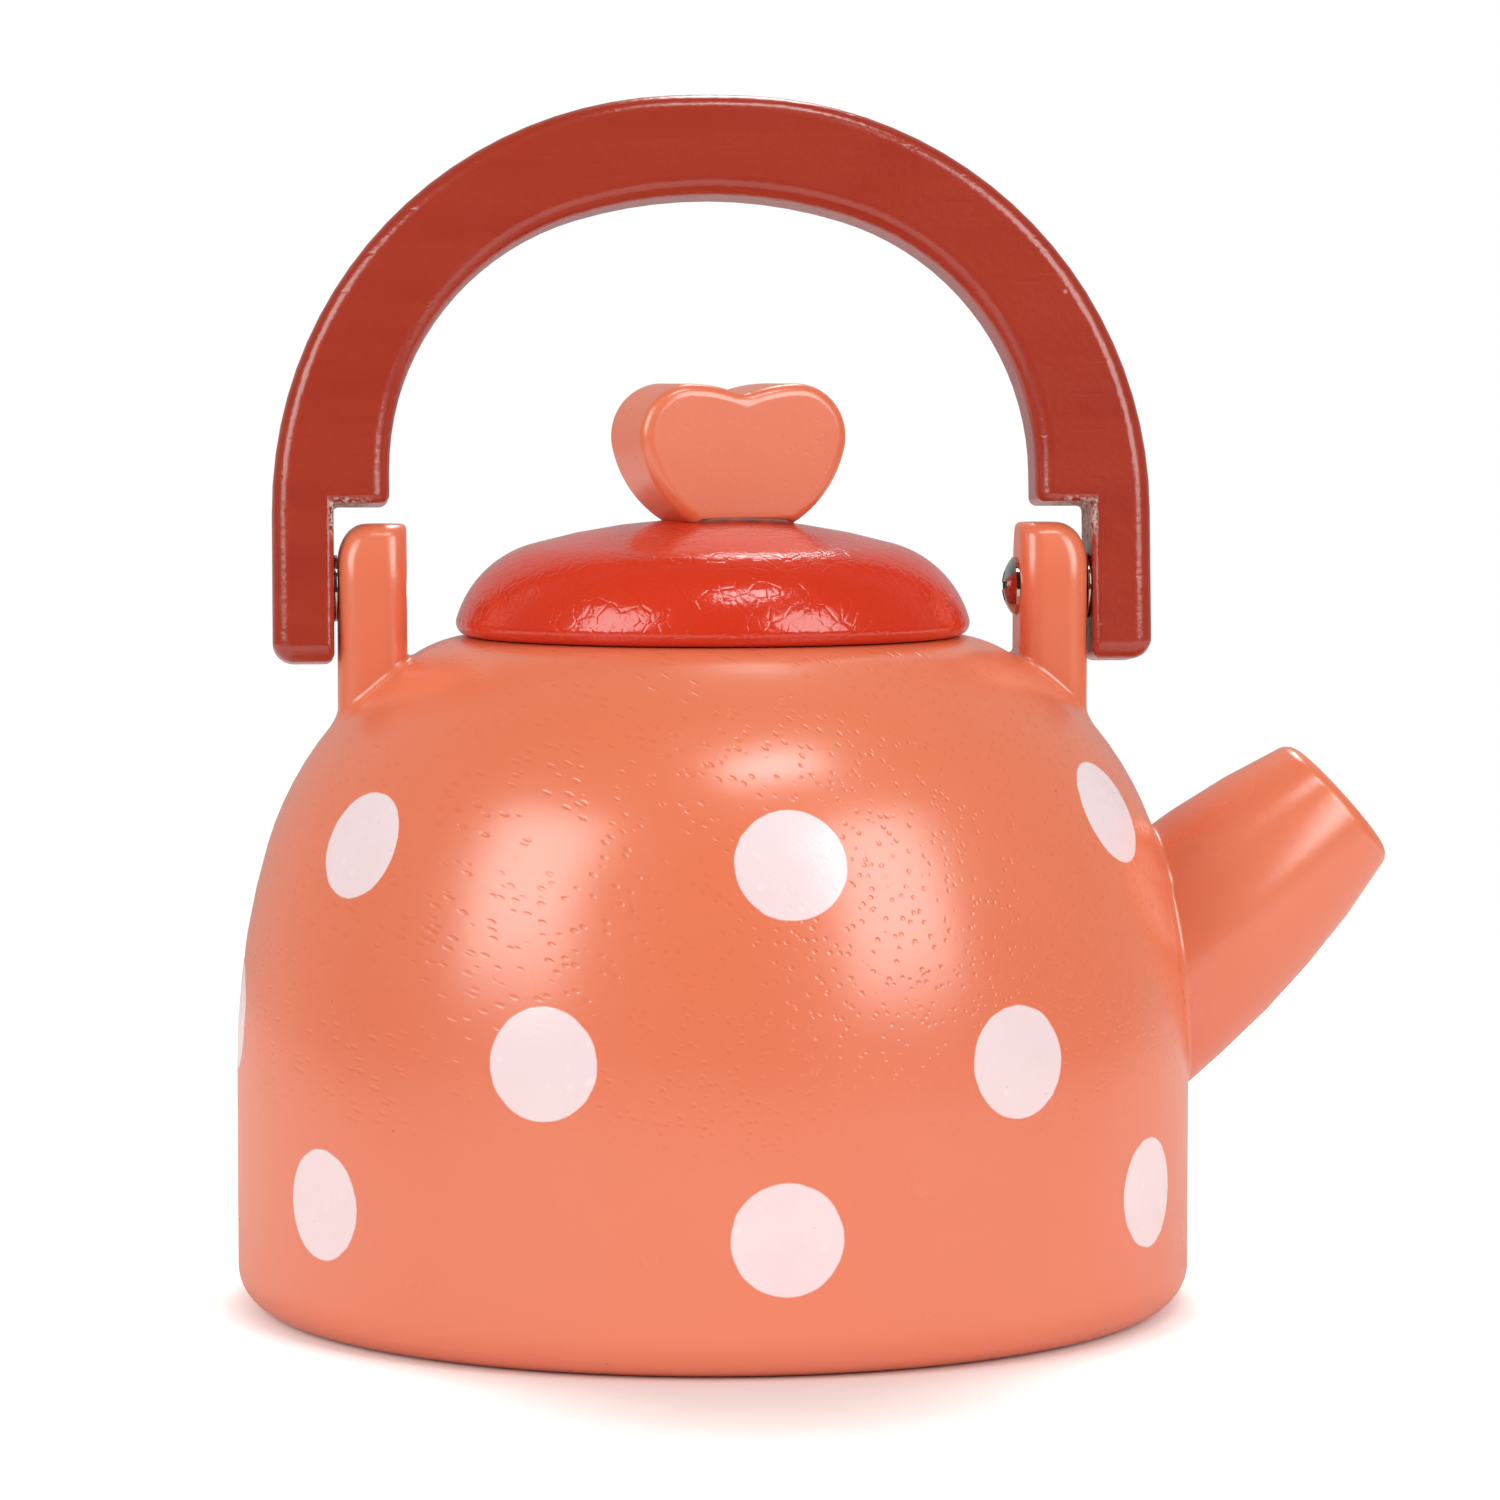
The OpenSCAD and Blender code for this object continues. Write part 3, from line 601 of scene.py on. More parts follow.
def loft(loops, ring=False):
    """A skin through loops of points, closed into a ring or capped at both ends."""
    bm = bmesh.new()
    rows = [[bm.verts.new(point) for point in loop] for loop in loops]
    for first, second in zip(rows, rows[1:] + (rows[:1] if ring else [])):
        for i in range(len(first)):
            bm.faces.new((first[i - 1], first[i], second[i], second[i - 1]))
    if not ring:
        bm.faces.new(rows[0])
        bm.faces.new(rows[-1])
    tidy(bm)
    return bm


def cove(start, corner, end, steps=6):
    """Points on a hollow curve that leaves and meets two faces along them."""
    shares = [step / steps for step in range(steps + 1)]
    return [start * (1 - t) ** 2 + corner * 2 * t * (1 - t) + end * t ** 2 for t in shares]


def carve(piece, bm):
    """Cut a shape out of a piece."""
    mesh = bpy.data.meshes.new("cutter")
    bm.to_mesh(mesh)
    bm.free()
    cutter = bpy.data.objects.new("cutter", mesh)
    bpy.context.scene.collection.objects.link(cutter)
    cut = piece.modifiers.new("cut", "BOOLEAN")
    cut.operation = "DIFFERENCE"
    cut.solver = "EXACT"
    cut.object = cutter
    with bpy.context.temp_override(object=piece, active_object=piece):
        bpy.ops.object.modifier_apply(modifier=cut.name)
    bpy.data.objects.remove(cutter)
    bpy.data.meshes.remove(mesh)
    piece.data.set_sharp_from_angle(angle=SHARP_ANGLE)


def make_piece(name, bm, material, body, replaced=()):
    """Turn a finished bmesh into a piece that rides on a body."""
    for face in bm.faces:
        face.smooth = True
    for edge in bm.edges:
        edge.smooth = len(edge.link_faces) != 2 or edge.calc_face_angle() < SHARP_ANGLE
    mesh = bpy.data.meshes.new(name)
    bm.to_mesh(mesh)
    bm.free()
    mesh.materials.append(material)
    piece = bpy.data.objects.new(name, mesh)
    bpy.context.scene.collection.objects.link(piece)
    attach(piece, body)
    if replaced:
        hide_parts(*replaced)
    return piece


def shared_material(name, mixer, *details):
    """A finish by name, mixed the first time that it is asked for."""
    found = bpy.data.materials.get(name)
    return found or mixer(bpy.context.scene.toy_kettle.paints, *details)


class BodyCurves:
    """The curves of the turned body, worked out from its sizes."""

    def __init__(self, sizes):
        self.sizes = sizes
        self.rim = sizes.width / 2
        roll = sizes.shoulder_curve - sizes.crown_curve
        lead = sizes.side_curve - sizes.shoulder_curve
        self.crown_z = sizes.height - sizes.crown_curve
        self.shoulder_z = self.crown_z - roll * math.sin(sizes.shoulder_turn)
        self.side_z = self.shoulder_z - lead * math.sin(sizes.side_turn)
        self.side_x = self.rim - sizes.side_curve
        self.shoulder_x = self.side_x + lead * math.cos(sizes.side_turn)
        self.crown_x = self.shoulder_x + roll * math.cos(sizes.shoulder_turn)

    def radius_at(self, z):
        """Radius of the outside at a height above the base's edge."""
        sizes = self.sizes
        if z <= self.side_z:
            return self.rim
        if z <= self.side_z + sizes.side_curve * math.sin(sizes.side_turn):
            return self.side_x + math.sqrt(sizes.side_curve ** 2 - (z - self.side_z) ** 2)
        if z <= self.shoulder_z + sizes.shoulder_curve * math.sin(sizes.shoulder_turn):
            return self.shoulder_x + math.sqrt(sizes.shoulder_curve ** 2 - (z - self.shoulder_z) ** 2)
        return self.crown_x + math.sqrt(max(0.0, sizes.crown_curve ** 2 - (z - self.crown_z) ** 2))

    def height_at(self, radius):
        """Height of the outside at a distance from the axis."""
        low, high = self.side_z, self.sizes.height
        for _ in range(HALVINGS):
            middle = (low + high) / 2
            if self.radius_at(middle) > radius:
                low = middle
            else:
                high = middle
        return low

    def height_over(self, point):
        """Height of the outside above a place on the floor."""
        return self.height_at(math.hypot(point.x, point.y))

    def outline(self):
        """Profile from the middle of the base, over the rim and down to the cavity's floor."""
        sizes = self.sizes
        mouth = sizes.mouth / 2
        lip = sizes.mouth_edge
        hollow = sizes.cavity_corner
        points = [spot(0, 0), spot(self.rim * 0.5, 0)]
        points += arc(self.rim - sizes.base_edge, sizes.base_edge, sizes.base_edge, -QUARTER, 0)
        points += line(points[-1], spot(self.rim, self.side_z), 6)
        points += arc(self.side_x, self.side_z, sizes.side_curve, 0, sizes.side_turn)[1:]
        points += arc(
            self.shoulder_x, self.shoulder_z, sizes.shoulder_curve, sizes.side_turn, sizes.shoulder_turn)[1:]
        points += arc(self.crown_x, self.crown_z, sizes.crown_curve, sizes.shoulder_turn, QUARTER)[1:]
        points += arc(mouth + lip, sizes.height - lip, lip, QUARTER, math.pi)
        points += line(points[-1], spot(mouth, sizes.floor + hollow), 4)
        points += arc(mouth - hollow, sizes.floor + hollow, hollow, 0, -QUARTER)[1:]
        points.append(spot(0, sizes.floor))
        return points


def dot_places(curves):
    """Places of the painted dots on the body's side."""
    places = []
    for azimuth, height in DOTS:
        turn = math.radians(azimuth)
        radius = curves.radius_at(height * MM)
        places.append((radius * math.sin(turn), -radius * math.cos(turn), height * MM))
    return places


class TOYKETTLE_OT_body(bpy.types.Operator):
    """Turn the hollow body and paint its dots"""

    bl_idname = "toy_kettle.body"
    bl_label = "Body"

    def execute(self, context):
        settings = context.scene.toy_kettle
        curves = BodyCurves(settings.body)
        finish = coral_paint(settings.paints, dot_places(curves), settings.body.dot / 2)
        make_piece("turned_body", turn_on_lathe(curves.outline()), finish, "kettle", ["body"])
        return {"FINISHED"}


def rounded_off(height, top, fall, width):
    """How far a rounded top edge has drawn back at a height."""
    share = min(1.0, max(0.0, 1 - (top - height) / fall))
    return width * (1 - math.sqrt(1 - share ** 2))


def post_loops(sizes, side):
    """Sections of a post from its foot in the body to its rounded top."""
    start = sizes.top - sizes.outer_fall
    shares = [step / POST_STEPS for step in range(POST_STEPS + 1)]
    heights = [sizes.foot + (start - sizes.foot) * share for share in shares[:-1]]
    heights += [start + sizes.outer_fall * math.sin(QUARTER * share) for share in shares]
    roundest = 0.45
    loops = []
    for z in heights:
        inner = sizes.inner_face + rounded_off(z, sizes.top, sizes.inner_corner, sizes.inner_corner)
        outer = sizes.inner_face + sizes.thickness
        outer -= rounded_off(z, sizes.top, sizes.outer_fall, sizes.outer_corner)
        over = max(0.0, z - sizes.face_start)
        lean = sizes.face_curve - math.sqrt(sizes.face_curve ** 2 - over ** 2)
        depth = sizes.depth - 2 * lean - 2 * rounded_off(z, sizes.top, sizes.top_edge, sizes.top_edge)
        radius = min(sizes.edge, roundest * (outer - inner), roundest * depth)
        section = rounded_section(side * (inner + outer) / 2, outer - inner, depth, radius)
        loops.append([point + Vector((0, 0, z)) for point, _ in section])
    return loops


def rounded_section(middle_x, width, depth, radius):
    """Points and outward directions round a rounded rectangle about a place on the X axis."""
    section = []
    corners = ((1, 1, 0), (-1, 1, 1), (-1, -1, 2), (1, -1, 3))
    for right, back, quarters in corners:
        centre = Vector((middle_x + right * (width / 2 - radius), back * (depth / 2 - radius), 0))
        for step in range(CORNER_STEPS + 1):
            turn = (quarters + step / CORNER_STEPS) * QUARTER
            outward = Vector((math.cos(turn), math.sin(turn), 0))
            section.append((centre + outward * radius, outward))
    return dense_section(section)


def dense_section(section, parts=14):
    """The same section with points added along its straight sides."""
    dense = []
    for (point, outward), (after, next_outward) in zip(section, section[1:] + section[:1]):
        straight = outward.dot(next_outward) > 0.9999
        count = parts if straight else 1
        for part in range(count):
            share = part / count
            dense.append((point.lerp(after, share), outward.lerp(next_outward, share).normalized()))
    return dense


def root_loops(section, height_over, fillet, sink=0.05 * MM):
    """Loops of a paint fillet between an upright wall and the face that it stands on."""
    columns = []
    for point, outward in section:
        root = Vector((point.x, point.y, height_over(point)))
        away = point + outward * fillet
        foot = Vector((away.x, away.y, height_over(away) - sink))
        top = root - outward * sink + Vector((0, 0, fillet))
        inside = root - outward * sink * 4 - Vector((0, 0, sink * 8))
        columns.append(cove(top, root, foot) + [inside])
    return [list(loop) for loop in zip(*columns)]


def rod_along_x(radius, reach, place):
    """A rod about the X axis through a place."""
    bm = bmesh.new()
    bmesh.ops.create_cone(
        bm, cap_ends=True, cap_tris=False, segments=64, radius1=radius, radius2=radius, depth=reach)
    bmesh.ops.transform(bm, matrix=place @ Matrix.Rotation(QUARTER, 4, "Y"), verts=bm.verts)
    return bm


class TOYKETTLE_OT_lugs(bpy.types.Operator):
    """Set the two posts for the handle into the shoulder"""

    bl_idname = "toy_kettle.lugs"
    bl_label = "Handle posts"

    def execute(self, context):
        settings = context.scene.toy_kettle
        sizes = settings.lugs
        curves = BodyCurves(settings.body)
        finish = shared_material("coral_gloss_paint", coral_paint)
        middle = sizes.inner_face + sizes.thickness / 2
        for side, name in ((1, "right"), (-1, "left")):
            post = loft(post_loops(sizes, side))
            piece = make_piece(f"{name}_handle_post", post, finish, "kettle", [f"{name}_lug"])
            pivot = Matrix.Translation((side * middle, 0, settings.handle.pivot))
            carve(piece, rod_along_x(sizes.hole / 2, sizes.thickness * 2, pivot))
            if side < 0:
                head = settings.pivots.head / 2 + settings.pivots.head_play
                face = Matrix.Translation((-sizes.inner_face, 0, settings.handle.pivot))
                carve(piece, rod_along_x(head, settings.pivots.sink * 2, face))
            section = rounded_section(side * middle, sizes.thickness, sizes.depth, sizes.edge)
            fillet = loft(root_loops(section, curves.height_over, sizes.fillet), ring=True)
            make_piece(f"{name}_post_fillet", fillet, finish, "kettle")
        return {"FINISHED"}


class SpoutCurves:
    """The curves of the spout, with distances behind its tip as Z."""

    def __init__(self, sizes):
        self.sizes = sizes
        self.swell = sizes.side_curve * math.sin(sizes.taper)
        self.girth = sizes.tip_width / 2 + sizes.side_curve * (1 - math.cos(sizes.taper))
        self.side_x = self.girth - sizes.side_curve
        tilt = Matrix.Rotation(QUARTER - sizes.tilt, 4, "Y") @ Matrix.Rotation(math.pi, 4, "X")
        self.place = Matrix.Translation((sizes.reach, 0, sizes.tip_height)) @ tilt

    def outline(self):
        """Profile from the middle of the tip to the middle of the end inside the body."""
        sizes = self.sizes
        reach = sizes.side_curve - sizes.rim
        rim_x = self.side_x + math.sqrt(reach ** 2 - (self.swell - sizes.rim) ** 2)
        rim_turn = math.atan2(sizes.rim - self.swell, rim_x - self.side_x)
        end = self.swell + sizes.root
        points = [spot(0, 0), spot(rim_x * 0.6, 0)]
        points += arc(rim_x, sizes.rim, sizes.rim, -QUARTER, rim_turn)
        points += arc(self.side_x, self.swell, sizes.side_curve, rim_turn, 0)[1:]
        points += line(points[-1], spot(self.girth, end), 3)
        points.append(spot(0, end))
        return points

    def at(self, behind, turn):
        """A place on the side, at a distance behind the tip and a turn about the axis."""
        lag = min(0.0, behind - self.swell)
        radius = self.side_x + math.sqrt(self.sizes.side_curve ** 2 - lag ** 2)
        return self.place @ Vector((radius * math.cos(turn), radius * math.sin(turn), behind))

    def root(self, turn, curves):
        """Distance behind the tip at which the side enters the body."""
        near, far = 0.0, self.swell + self.sizes.root
        for _ in range(HALVINGS):
            middle = (near + far) / 2
            point = self.at(middle, turn)
            if math.hypot(point.x, point.y) > curves.radius_at(point.z):
                near = middle
            else:
                far = middle
        return near


def body_normal(curves, point):
    """Direction straight out of the body's side at a place on it."""
    step = 0.01 * MM
    slope = (curves.radius_at(point.z + step) - curves.radius_at(point.z - step)) / (2 * step)
    flat = Vector((point.x, point.y, 0)).normalized()
    return Vector((flat.x, flat.y, -slope)).normalized()


def spout_fillet(spout, curves, count=144):
    """The thin paint fillet where the spout enters the body."""
    fillet = spout.sizes.fillet
    sink = 0.04 * MM
    columns = []
    for step in range(count):
        turn = math.tau * step / count
        behind = spout.root(turn, curves)
        root = spout.at(behind, turn)
        axis_point = spout.place @ Vector((0, 0, behind))
        wall = (root - axis_point).normalized()
        face = body_normal(curves, root)
        along_wall = (spout.at(behind - fillet, turn) - root).normalized()
        along_face = (wall - face * wall.dot(face)).normalized()
        top = root + along_wall * fillet - wall * sink
        foot = root + along_face * fillet - face * sink
        inside = root - face * sink * 6 - wall * sink * 6
        columns.append(cove(top, root, foot, 5) + [inside])
    return loft([list(loop) for loop in zip(*columns)], ring=True)


class TOYKETTLE_OT_spout(bpy.types.Operator):
    """Turn the spout and let it into the body"""

    bl_idname = "toy_kettle.spout"
    bl_label = "Spout"

    def execute(self, context):
        settings = context.scene.toy_kettle
        spout = SpoutCurves(settings.spout)
        finish = shared_material("coral_gloss_paint", coral_paint)
        bm = turn_on_lathe(spout.outline(), SPOUT_STEPS)
        bmesh.ops.transform(bm, matrix=spout.place, verts=bm.verts)
        make_piece("turned_spout", bm, finish, "kettle", ["spout"])
        seam = spout_fillet(spout, BodyCurves(settings.body))
        make_piece("spout_fillet", seam, finish, "kettle")
        return {"FINISHED"}


class LidCurves:
    """The curves of the lid, worked out from its sizes."""

    def __init__(self, sizes):
        self.sizes = sizes
        self.top = lid_high.z
        self.seat = lid_low.z + sizes.spigot_drop
        self.shoulder_x = sizes.width / 2 - sizes.shoulder_curve
        reach = sizes.crown_curve - sizes.shoulder_curve
        self.crown_z = self.top - sizes.crown_curve
        self.shoulder_z = self.crown_z + math.sqrt(reach ** 2 - self.shoulder_x ** 2)
        self.join = math.atan2(self.shoulder_z - self.crown_z, self.shoulder_x)

    def height_over(self, point):
        """Height of the crown above a place on the floor."""
        return self.crown_z + math.sqrt(self.sizes.crown_curve ** 2 - point.x ** 2 - point.y ** 2)

    def outline(self):
        """Profile from the middle of the spigot's end, round the edge and over the top."""
        sizes = self.sizes
        bottom = lid_low.z
        spigot = sizes.spigot / 2
        lead = 0.6 * MM
        edge_z = self.seat + sizes.edge
        reach = sizes.shoulder_curve - sizes.edge
        edge_x = self.shoulder_x + math.sqrt(reach ** 2 - (edge_z - self.shoulder_z) ** 2)
        edge_turn = math.atan2(edge_z - self.shoulder_z, edge_x - self.shoulder_x)
        points = [spot(0, bottom), spot(spigot - lead, bottom), spot(spigot, bottom + lead)]
        points += line(points[-1], spot(spigot, self.seat), 3)
        points += arc(edge_x, edge_z, sizes.edge, -QUARTER, edge_turn)
        points += arc(self.shoulder_x, self.shoulder_z, sizes.shoulder_curve, edge_turn, self.join)[1:]
        points += arc(0, self.crown_z, sizes.crown_curve, self.join, QUARTER)[1:-1]
        points.append(spot(0, self.top))
        return points


class TOYKETTLE_OT_lid(bpy.types.Operator):
    """Turn the lid with the spigot that drops into the mouth"""

    bl_idname = "toy_kettle.lid"
    bl_label = "Lid"

    def execute(self, context):
        settings = context.scene.toy_kettle
        curves = LidCurves(settings.lid)
        finish = shared_material("lid_red_lacquer", lid_paint)
        make_piece("turned_lid", turn_on_lathe(curves.outline()), finish, "lid", ["lid"])
        return {"FINISHED"}


def heart_outline(sizes, foot_z):
    """Outline of the heart, from its right foot up, over both lobes and down to its left foot."""
    lobe_x = sizes.width / 2 - sizes.lobe
    lobe_z = knob_high.z - sizes.lobe
    foot = sizes.foot / 2
    reach = math.hypot(lobe_x - foot, lobe_z - foot_z)
    lag = sizes.side_curve - sizes.lobe
    across = (reach ** 2 + lag ** 2 - sizes.side_curve ** 2) / (2 * lag * reach)
    swing = math.atan2(lobe_z - foot_z, lobe_x - foot) - math.acos(across)
    side_x = lobe_x - lag * math.cos(swing)
    side_z = lobe_z - lag * math.sin(swing)
    foot_turn = math.atan2(foot_z - side_z, foot - side_x)
    cleft_turn = math.acos(-lobe_x / sizes.top_curve)
    right = arc(side_x, side_z, sizes.side_curve, foot_turn, swing)
    right += arc(lobe_x, lobe_z, sizes.lobe, swing, QUARTER)[1:]
    right += arc(lobe_x, knob_high.z - sizes.top_curve, sizes.top_curve, QUARTER, cleft_turn)[1:]
    left = [spot(-p.x, p.z) for p in reversed(right[:-1])]
    return right + left


class TOYKETTLE_OT_heart(bpy.types.Operator):
    """Saw and round the heart, set it on the lid and run a dark bead round its foot"""

    bl_idname = "toy_kettle.heart"
    bl_label = "Heart knob"

    def execute(self, context):
        settings = context.scene.toy_kettle
        sizes = settings.heart
        lid = LidCurves(settings.lid)
        finish = shared_material("coral_gloss_paint", coral_paint)
        turn = Matrix.Rotation(sizes.turn, 4, "Z")
        board = saw_board(heart_outline(sizes, knob_low.z), sizes.thickness)
        weigh_edges(board, lambda edge: 0.0)
        place = turn @ Matrix.Translation((sizes.offset, 0, 0))
        bmesh.ops.transform(board, matrix=place, verts=board.verts)
        soften(make_piece("heart_knob", board, finish, "lid", ["lid_knob"]), sizes.edge)
        width = sizes.foot + sizes.edge * 0.2
        section = rounded_section(sizes.offset, width, sizes.thickness, sizes.edge)
        # A dark bead round the heart's foot.
        bead = loft(root_loops(section, lid.height_over, sizes.foot_bead), ring=True)
        bmesh.ops.transform(bead, matrix=turn, verts=bead.verts)
        make_piece("heart_foot_bead", bead, shared_material("dark_foot_bead", foot_bead_finish), "lid")
        return {"FINISHED"}


def half_arch(rise, face, crown, side):
    """Half a bow from its top down to its upright face, with a flat crown arc and a rounder side arc."""
    crown_z = rise - crown
    side_x = face - side
    reach = crown - side
    side_z = crown_z + math.sqrt(reach ** 2 - side_x ** 2)
    join = math.atan2(side_z - crown_z, side_x)
    return arc(0, crown_z, crown, QUARTER, join) + arc(side_x, side_z, side, join, 0)[1:]


def handle_outline(sizes):
    """Outline of the handle in its own plane, with the pivots at Z = 0."""
    inner_rise = sizes.rise - sizes.grip
    right = half_arch(sizes.rise, sizes.outer_face, sizes.outer_crown, sizes.outer_side)
    right += arc(sizes.outer_face - sizes.corner, sizes.corner - sizes.drop, sizes.corner, 0, -QUARTER)
    right.append(spot(sizes.cheek, -sizes.drop))
    right.append(spot(sizes.cheek, sizes.notch))
    right.append(spot(sizes.inner_face, sizes.notch))
    right += reversed(half_arch(inner_rise, sizes.inner_face, sizes.inner_crown, sizes.inner_side))
    left = [spot(-p.x, p.z) for p in reversed(right[1:-1])]
    return right + left


def in_notch(edge, sizes):
    """Whether an edge of the sawn handle lies beside a post."""
    slack = 0.01 * MM
    return all(abs(v.co.x) < sizes.cheek + slack and v.co.z < sizes.notch + slack for v in edge.verts)


class TOYKETTLE_OT_handle(bpy.types.Operator):
    """Saw the bowed handle with its notched legs and round its edges"""

    bl_idname = "toy_kettle.handle"
    bl_label = "Handle"

    def execute(self, context):
        settings = context.scene.toy_kettle
        sizes = settings.handle
        board = saw_board(handle_outline(sizes), sizes.thickness)
        standing = sizes.small_corner / sizes.edge
        hollow = sizes.notch_corner / sizes.edge
        beside_post = sizes.notch_edge / sizes.edge
        weigh_edges(board, lambda edge: standing if edge.is_convex else hollow,
                    lambda edge: beside_post if in_notch(edge, sizes) else 1.0)
        lean = Matrix.Translation((0, 0, sizes.pivot)) @ Matrix.Rotation(-sizes.lean, 4, "X")
        bmesh.ops.transform(board, matrix=lean, verts=board.verts)
        finish = shared_material("handle_red_satin", handle_paint, sizes)
        piece = make_piece("bowed_handle", board, finish, "handle", ["handle"])
        soften(piece, sizes.edge)
        return {"FINISHED"}


def screw_outline(sizes, tip):
    """Profile of a screw from its tip to the top of its dome, with the seat at Z = 0."""
    head = sizes.head / 2
    rise = sizes.head_height - sizes.head_rim
    dome = (head ** 2 + rise ** 2) / (2 * rise)
    spread = math.asin(head / dome)
    shank = sizes.shank / 2
    points = [spot(0, tip), spot(shank * 0.3, tip), spot(shank, tip + sizes.point), spot(shank, 0)]
    points += [spot(head, 0), spot(head, sizes.head_rim)]
    points += arc(0, sizes.head_height - dome, dome, QUARTER - spread, QUARTER)[1:-1]
    points.append(spot(0, sizes.head_height))
    return points


def cut_cross(piece, sizes, place):
    """Cut the cross slots of a screw's head."""
    for turn in (0, QUARTER):
        bm = bmesh.new()
        bmesh.ops.create_cube(bm, size=1.0)
        across = Matrix.Rotation(turn, 4, "Z")
        size = Matrix.Diagonal((sizes.slot_length, sizes.slot_width, sizes.slot_depth * 2, 1))
        top = Matrix.Translation((0, 0, sizes.head_height))
        bmesh.ops.transform(bm, matrix=place @ top @ across @ size, verts=bm.verts)
        carve(piece, bm)


class TOYKETTLE_OT_pivots(bpy.types.Operator):
    """Drive the pivot screws through the posts and slip on the washers"""

    bl_idname = "toy_kettle.pivots"
    bl_label = "Pivot screws"

    def execute(self, context):
        settings = context.scene.toy_kettle
        sizes = settings.pivots
        finish = shared_material("bright_nickel", bright_nickel)
        pivot = Matrix.Translation((0, 0, settings.handle.pivot))
        lean = pivot @ Matrix.Rotation(-settings.handle.lean, 4, "X")
        for side, name, dome, tip in ((1, "right", screw_low.x, screw_high.x),
                                      (-1, "left", -sunk_high.x, -sunk_low.x)):
            seat = dome + sizes.head_height
            inward = Matrix.Rotation(-side * QUARTER, 4, "Y")
            place = lean @ Matrix.Translation((side * seat, 0, 0)) @ inward
            screw = turn_on_lathe(screw_outline(sizes, seat - tip), PIVOT_STEPS)
            bmesh.ops.transform(screw, matrix=place, verts=screw.verts)
            piece = make_piece(
                f"{name}_screw", screw, finish, "handle", [f"{name}_pivot_screw"])
            cut_cross(piece, sizes, place)
            washer = turn_washer(sizes, washer_high.x - washer_low.x)
            middle = (washer_low.x + washer_high.x) / 2
            flat = pivot @ Matrix.Translation((side * middle, 0, 0)) @ inward
            bmesh.ops.transform(washer, matrix=flat, verts=washer.verts)
            make_piece(f"{name}_plain_washer", washer, finish, "handle", [f"{name}_washer"])
        return {"FINISHED"}


def turn_washer(sizes, thickness):
    """A flat washer with slightly rounded edges about Z."""
    half = thickness / 2
    soft = half / 2
    inner = sizes.shank / 2 + soft
    outer = sizes.washer / 2 - soft
    corners = ((outer, half - soft), (inner, half - soft), (inner, soft - half), (outer, soft - half))
    profile = []
    for step, (x, z) in enumerate(corners):
        profile += arc(x, z, soft, step * QUARTER, (step + 1) * QUARTER)[::6]
    return turn_on_lathe(profile, PIVOT_STEPS, ring=True)


class TOYKETTLE_OT_dowel(bpy.types.Operator):
    """Finish the dowel that pins the heart to the lid in bare beech"""

    bl_idname = "toy_kettle.dowel"
    bl_label = "Dowel"

    def execute(self, context):
        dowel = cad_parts["knob_dowel"]
        dowel.data.materials.clear()
        dowel.data.materials.append(shared_material("bare_beech", bare_beech))
        return {"FINISHED"}


# Azimuth and height in degrees, width and height in degrees as seen from the kettle, and brightness.
SOFTBOXES = (
    ("left_softbox", -54.0, 27.0, 27.0, 36.0, 3.7),
    ("right_softbox", 41.0, 26.0, 27.0, 36.0, 3.85),
    ("top_softbox", 24.0, 66.0, 21.0, 10.0, 6.5),
    ("back_strip", 168.5, 52.0, 12.0, 26.0, 7.0),
)
LIGHT_DISTANCE = 1.0
LIGHT_TARGET = Vector((0, 0, 0.06))
ROOM_SOFT = 0.25
ROOM_SIDES = 0.65
ROOM_REAR = 0.55
ROOM_FRONT = 0.03
ROOM_BACK = 0.43

FLOOR_HALF = 0.4
SHADOW_AHEAD = 16.5 * MM
SHADOW_STRETCH = 0.55
SHADOW_FADE = (16 * MM, 62 * MM)
BASE_FADE = (50 * MM, 68 * MM)

CAMERA_LENS = 131.06
CAMERA_AZIMUTH = math.radians(-5)
CAMERA_DISTANCE = 0.658
CAMERA_HEIGHT = 0.1134
CAMERA_PITCH = math.radians(4.07)
CAMERA_YAW = math.radians(0.39)


def direction(azimuth, height):
    """Direction to an azimuth from the front and a height over the horizon."""
    return Vector((math.sin(azimuth) * math.cos(height), -math.cos(azimuth) * math.cos(height),
                   math.sin(height)))


def hang_softbox(name, azimuth, height, width, tall, brightness):
    """Hang a soft light that faces the kettle."""
    data = bpy.data.lights.new(name, "AREA")
    data.shape = "RECTANGLE"
    data.size = 2 * LIGHT_DISTANCE * math.tan(math.radians(width / 2))
    data.size_y = 2 * LIGHT_DISTANCE * math.tan(math.radians(tall / 2))
    data.energy = brightness * math.pi * data.size * data.size_y
    lamp = bpy.data.objects.new(name, data)
    towards = direction(math.radians(azimuth), math.radians(height))
    lamp.location = LIGHT_TARGET + towards * LIGHT_DISTANCE
    lamp.rotation_euler = towards.to_track_quat("Z", "Y").to_euler()
    lamp.visible_camera = False
    bpy.context.scene.collection.objects.link(lamp)


def light_room():
    """An even room with a pale wall behind the kettle, which the camera sees as white."""
    world = bpy.data.worlds.new("white_room")
    world.use_nodes = True
    bpy.context.scene.world = world
    mix = Finish(world.node_tree)
    heading = mix.node("ShaderNodeTexCoord", out="Generated")
    back = mix.along("Y", heading)
    aside = mix.along("X", heading)
    rear = mix.math("MAXIMUM", back)
    fill = ROOM_SOFT + ROOM_SIDES * aside * aside + ROOM_REAR * rear * rear
    wall = ROOM_FRONT + (ROOM_BACK - ROOM_FRONT) * mix.ramp(back, 0.05, 0.9)
    mirrored = mix.node("ShaderNodeLightPath", out="Is Glossy Ray")
    soft = fill + (wall - fill) * mirrored
    white = soft + (1 - soft) * seen_directly(mix)
    room = mix.node("ShaderNodeBackground", {}, {"Color": white, "Strength": 1.0})
    mix.node("ShaderNodeOutputWorld", {}, {"Surface": room})


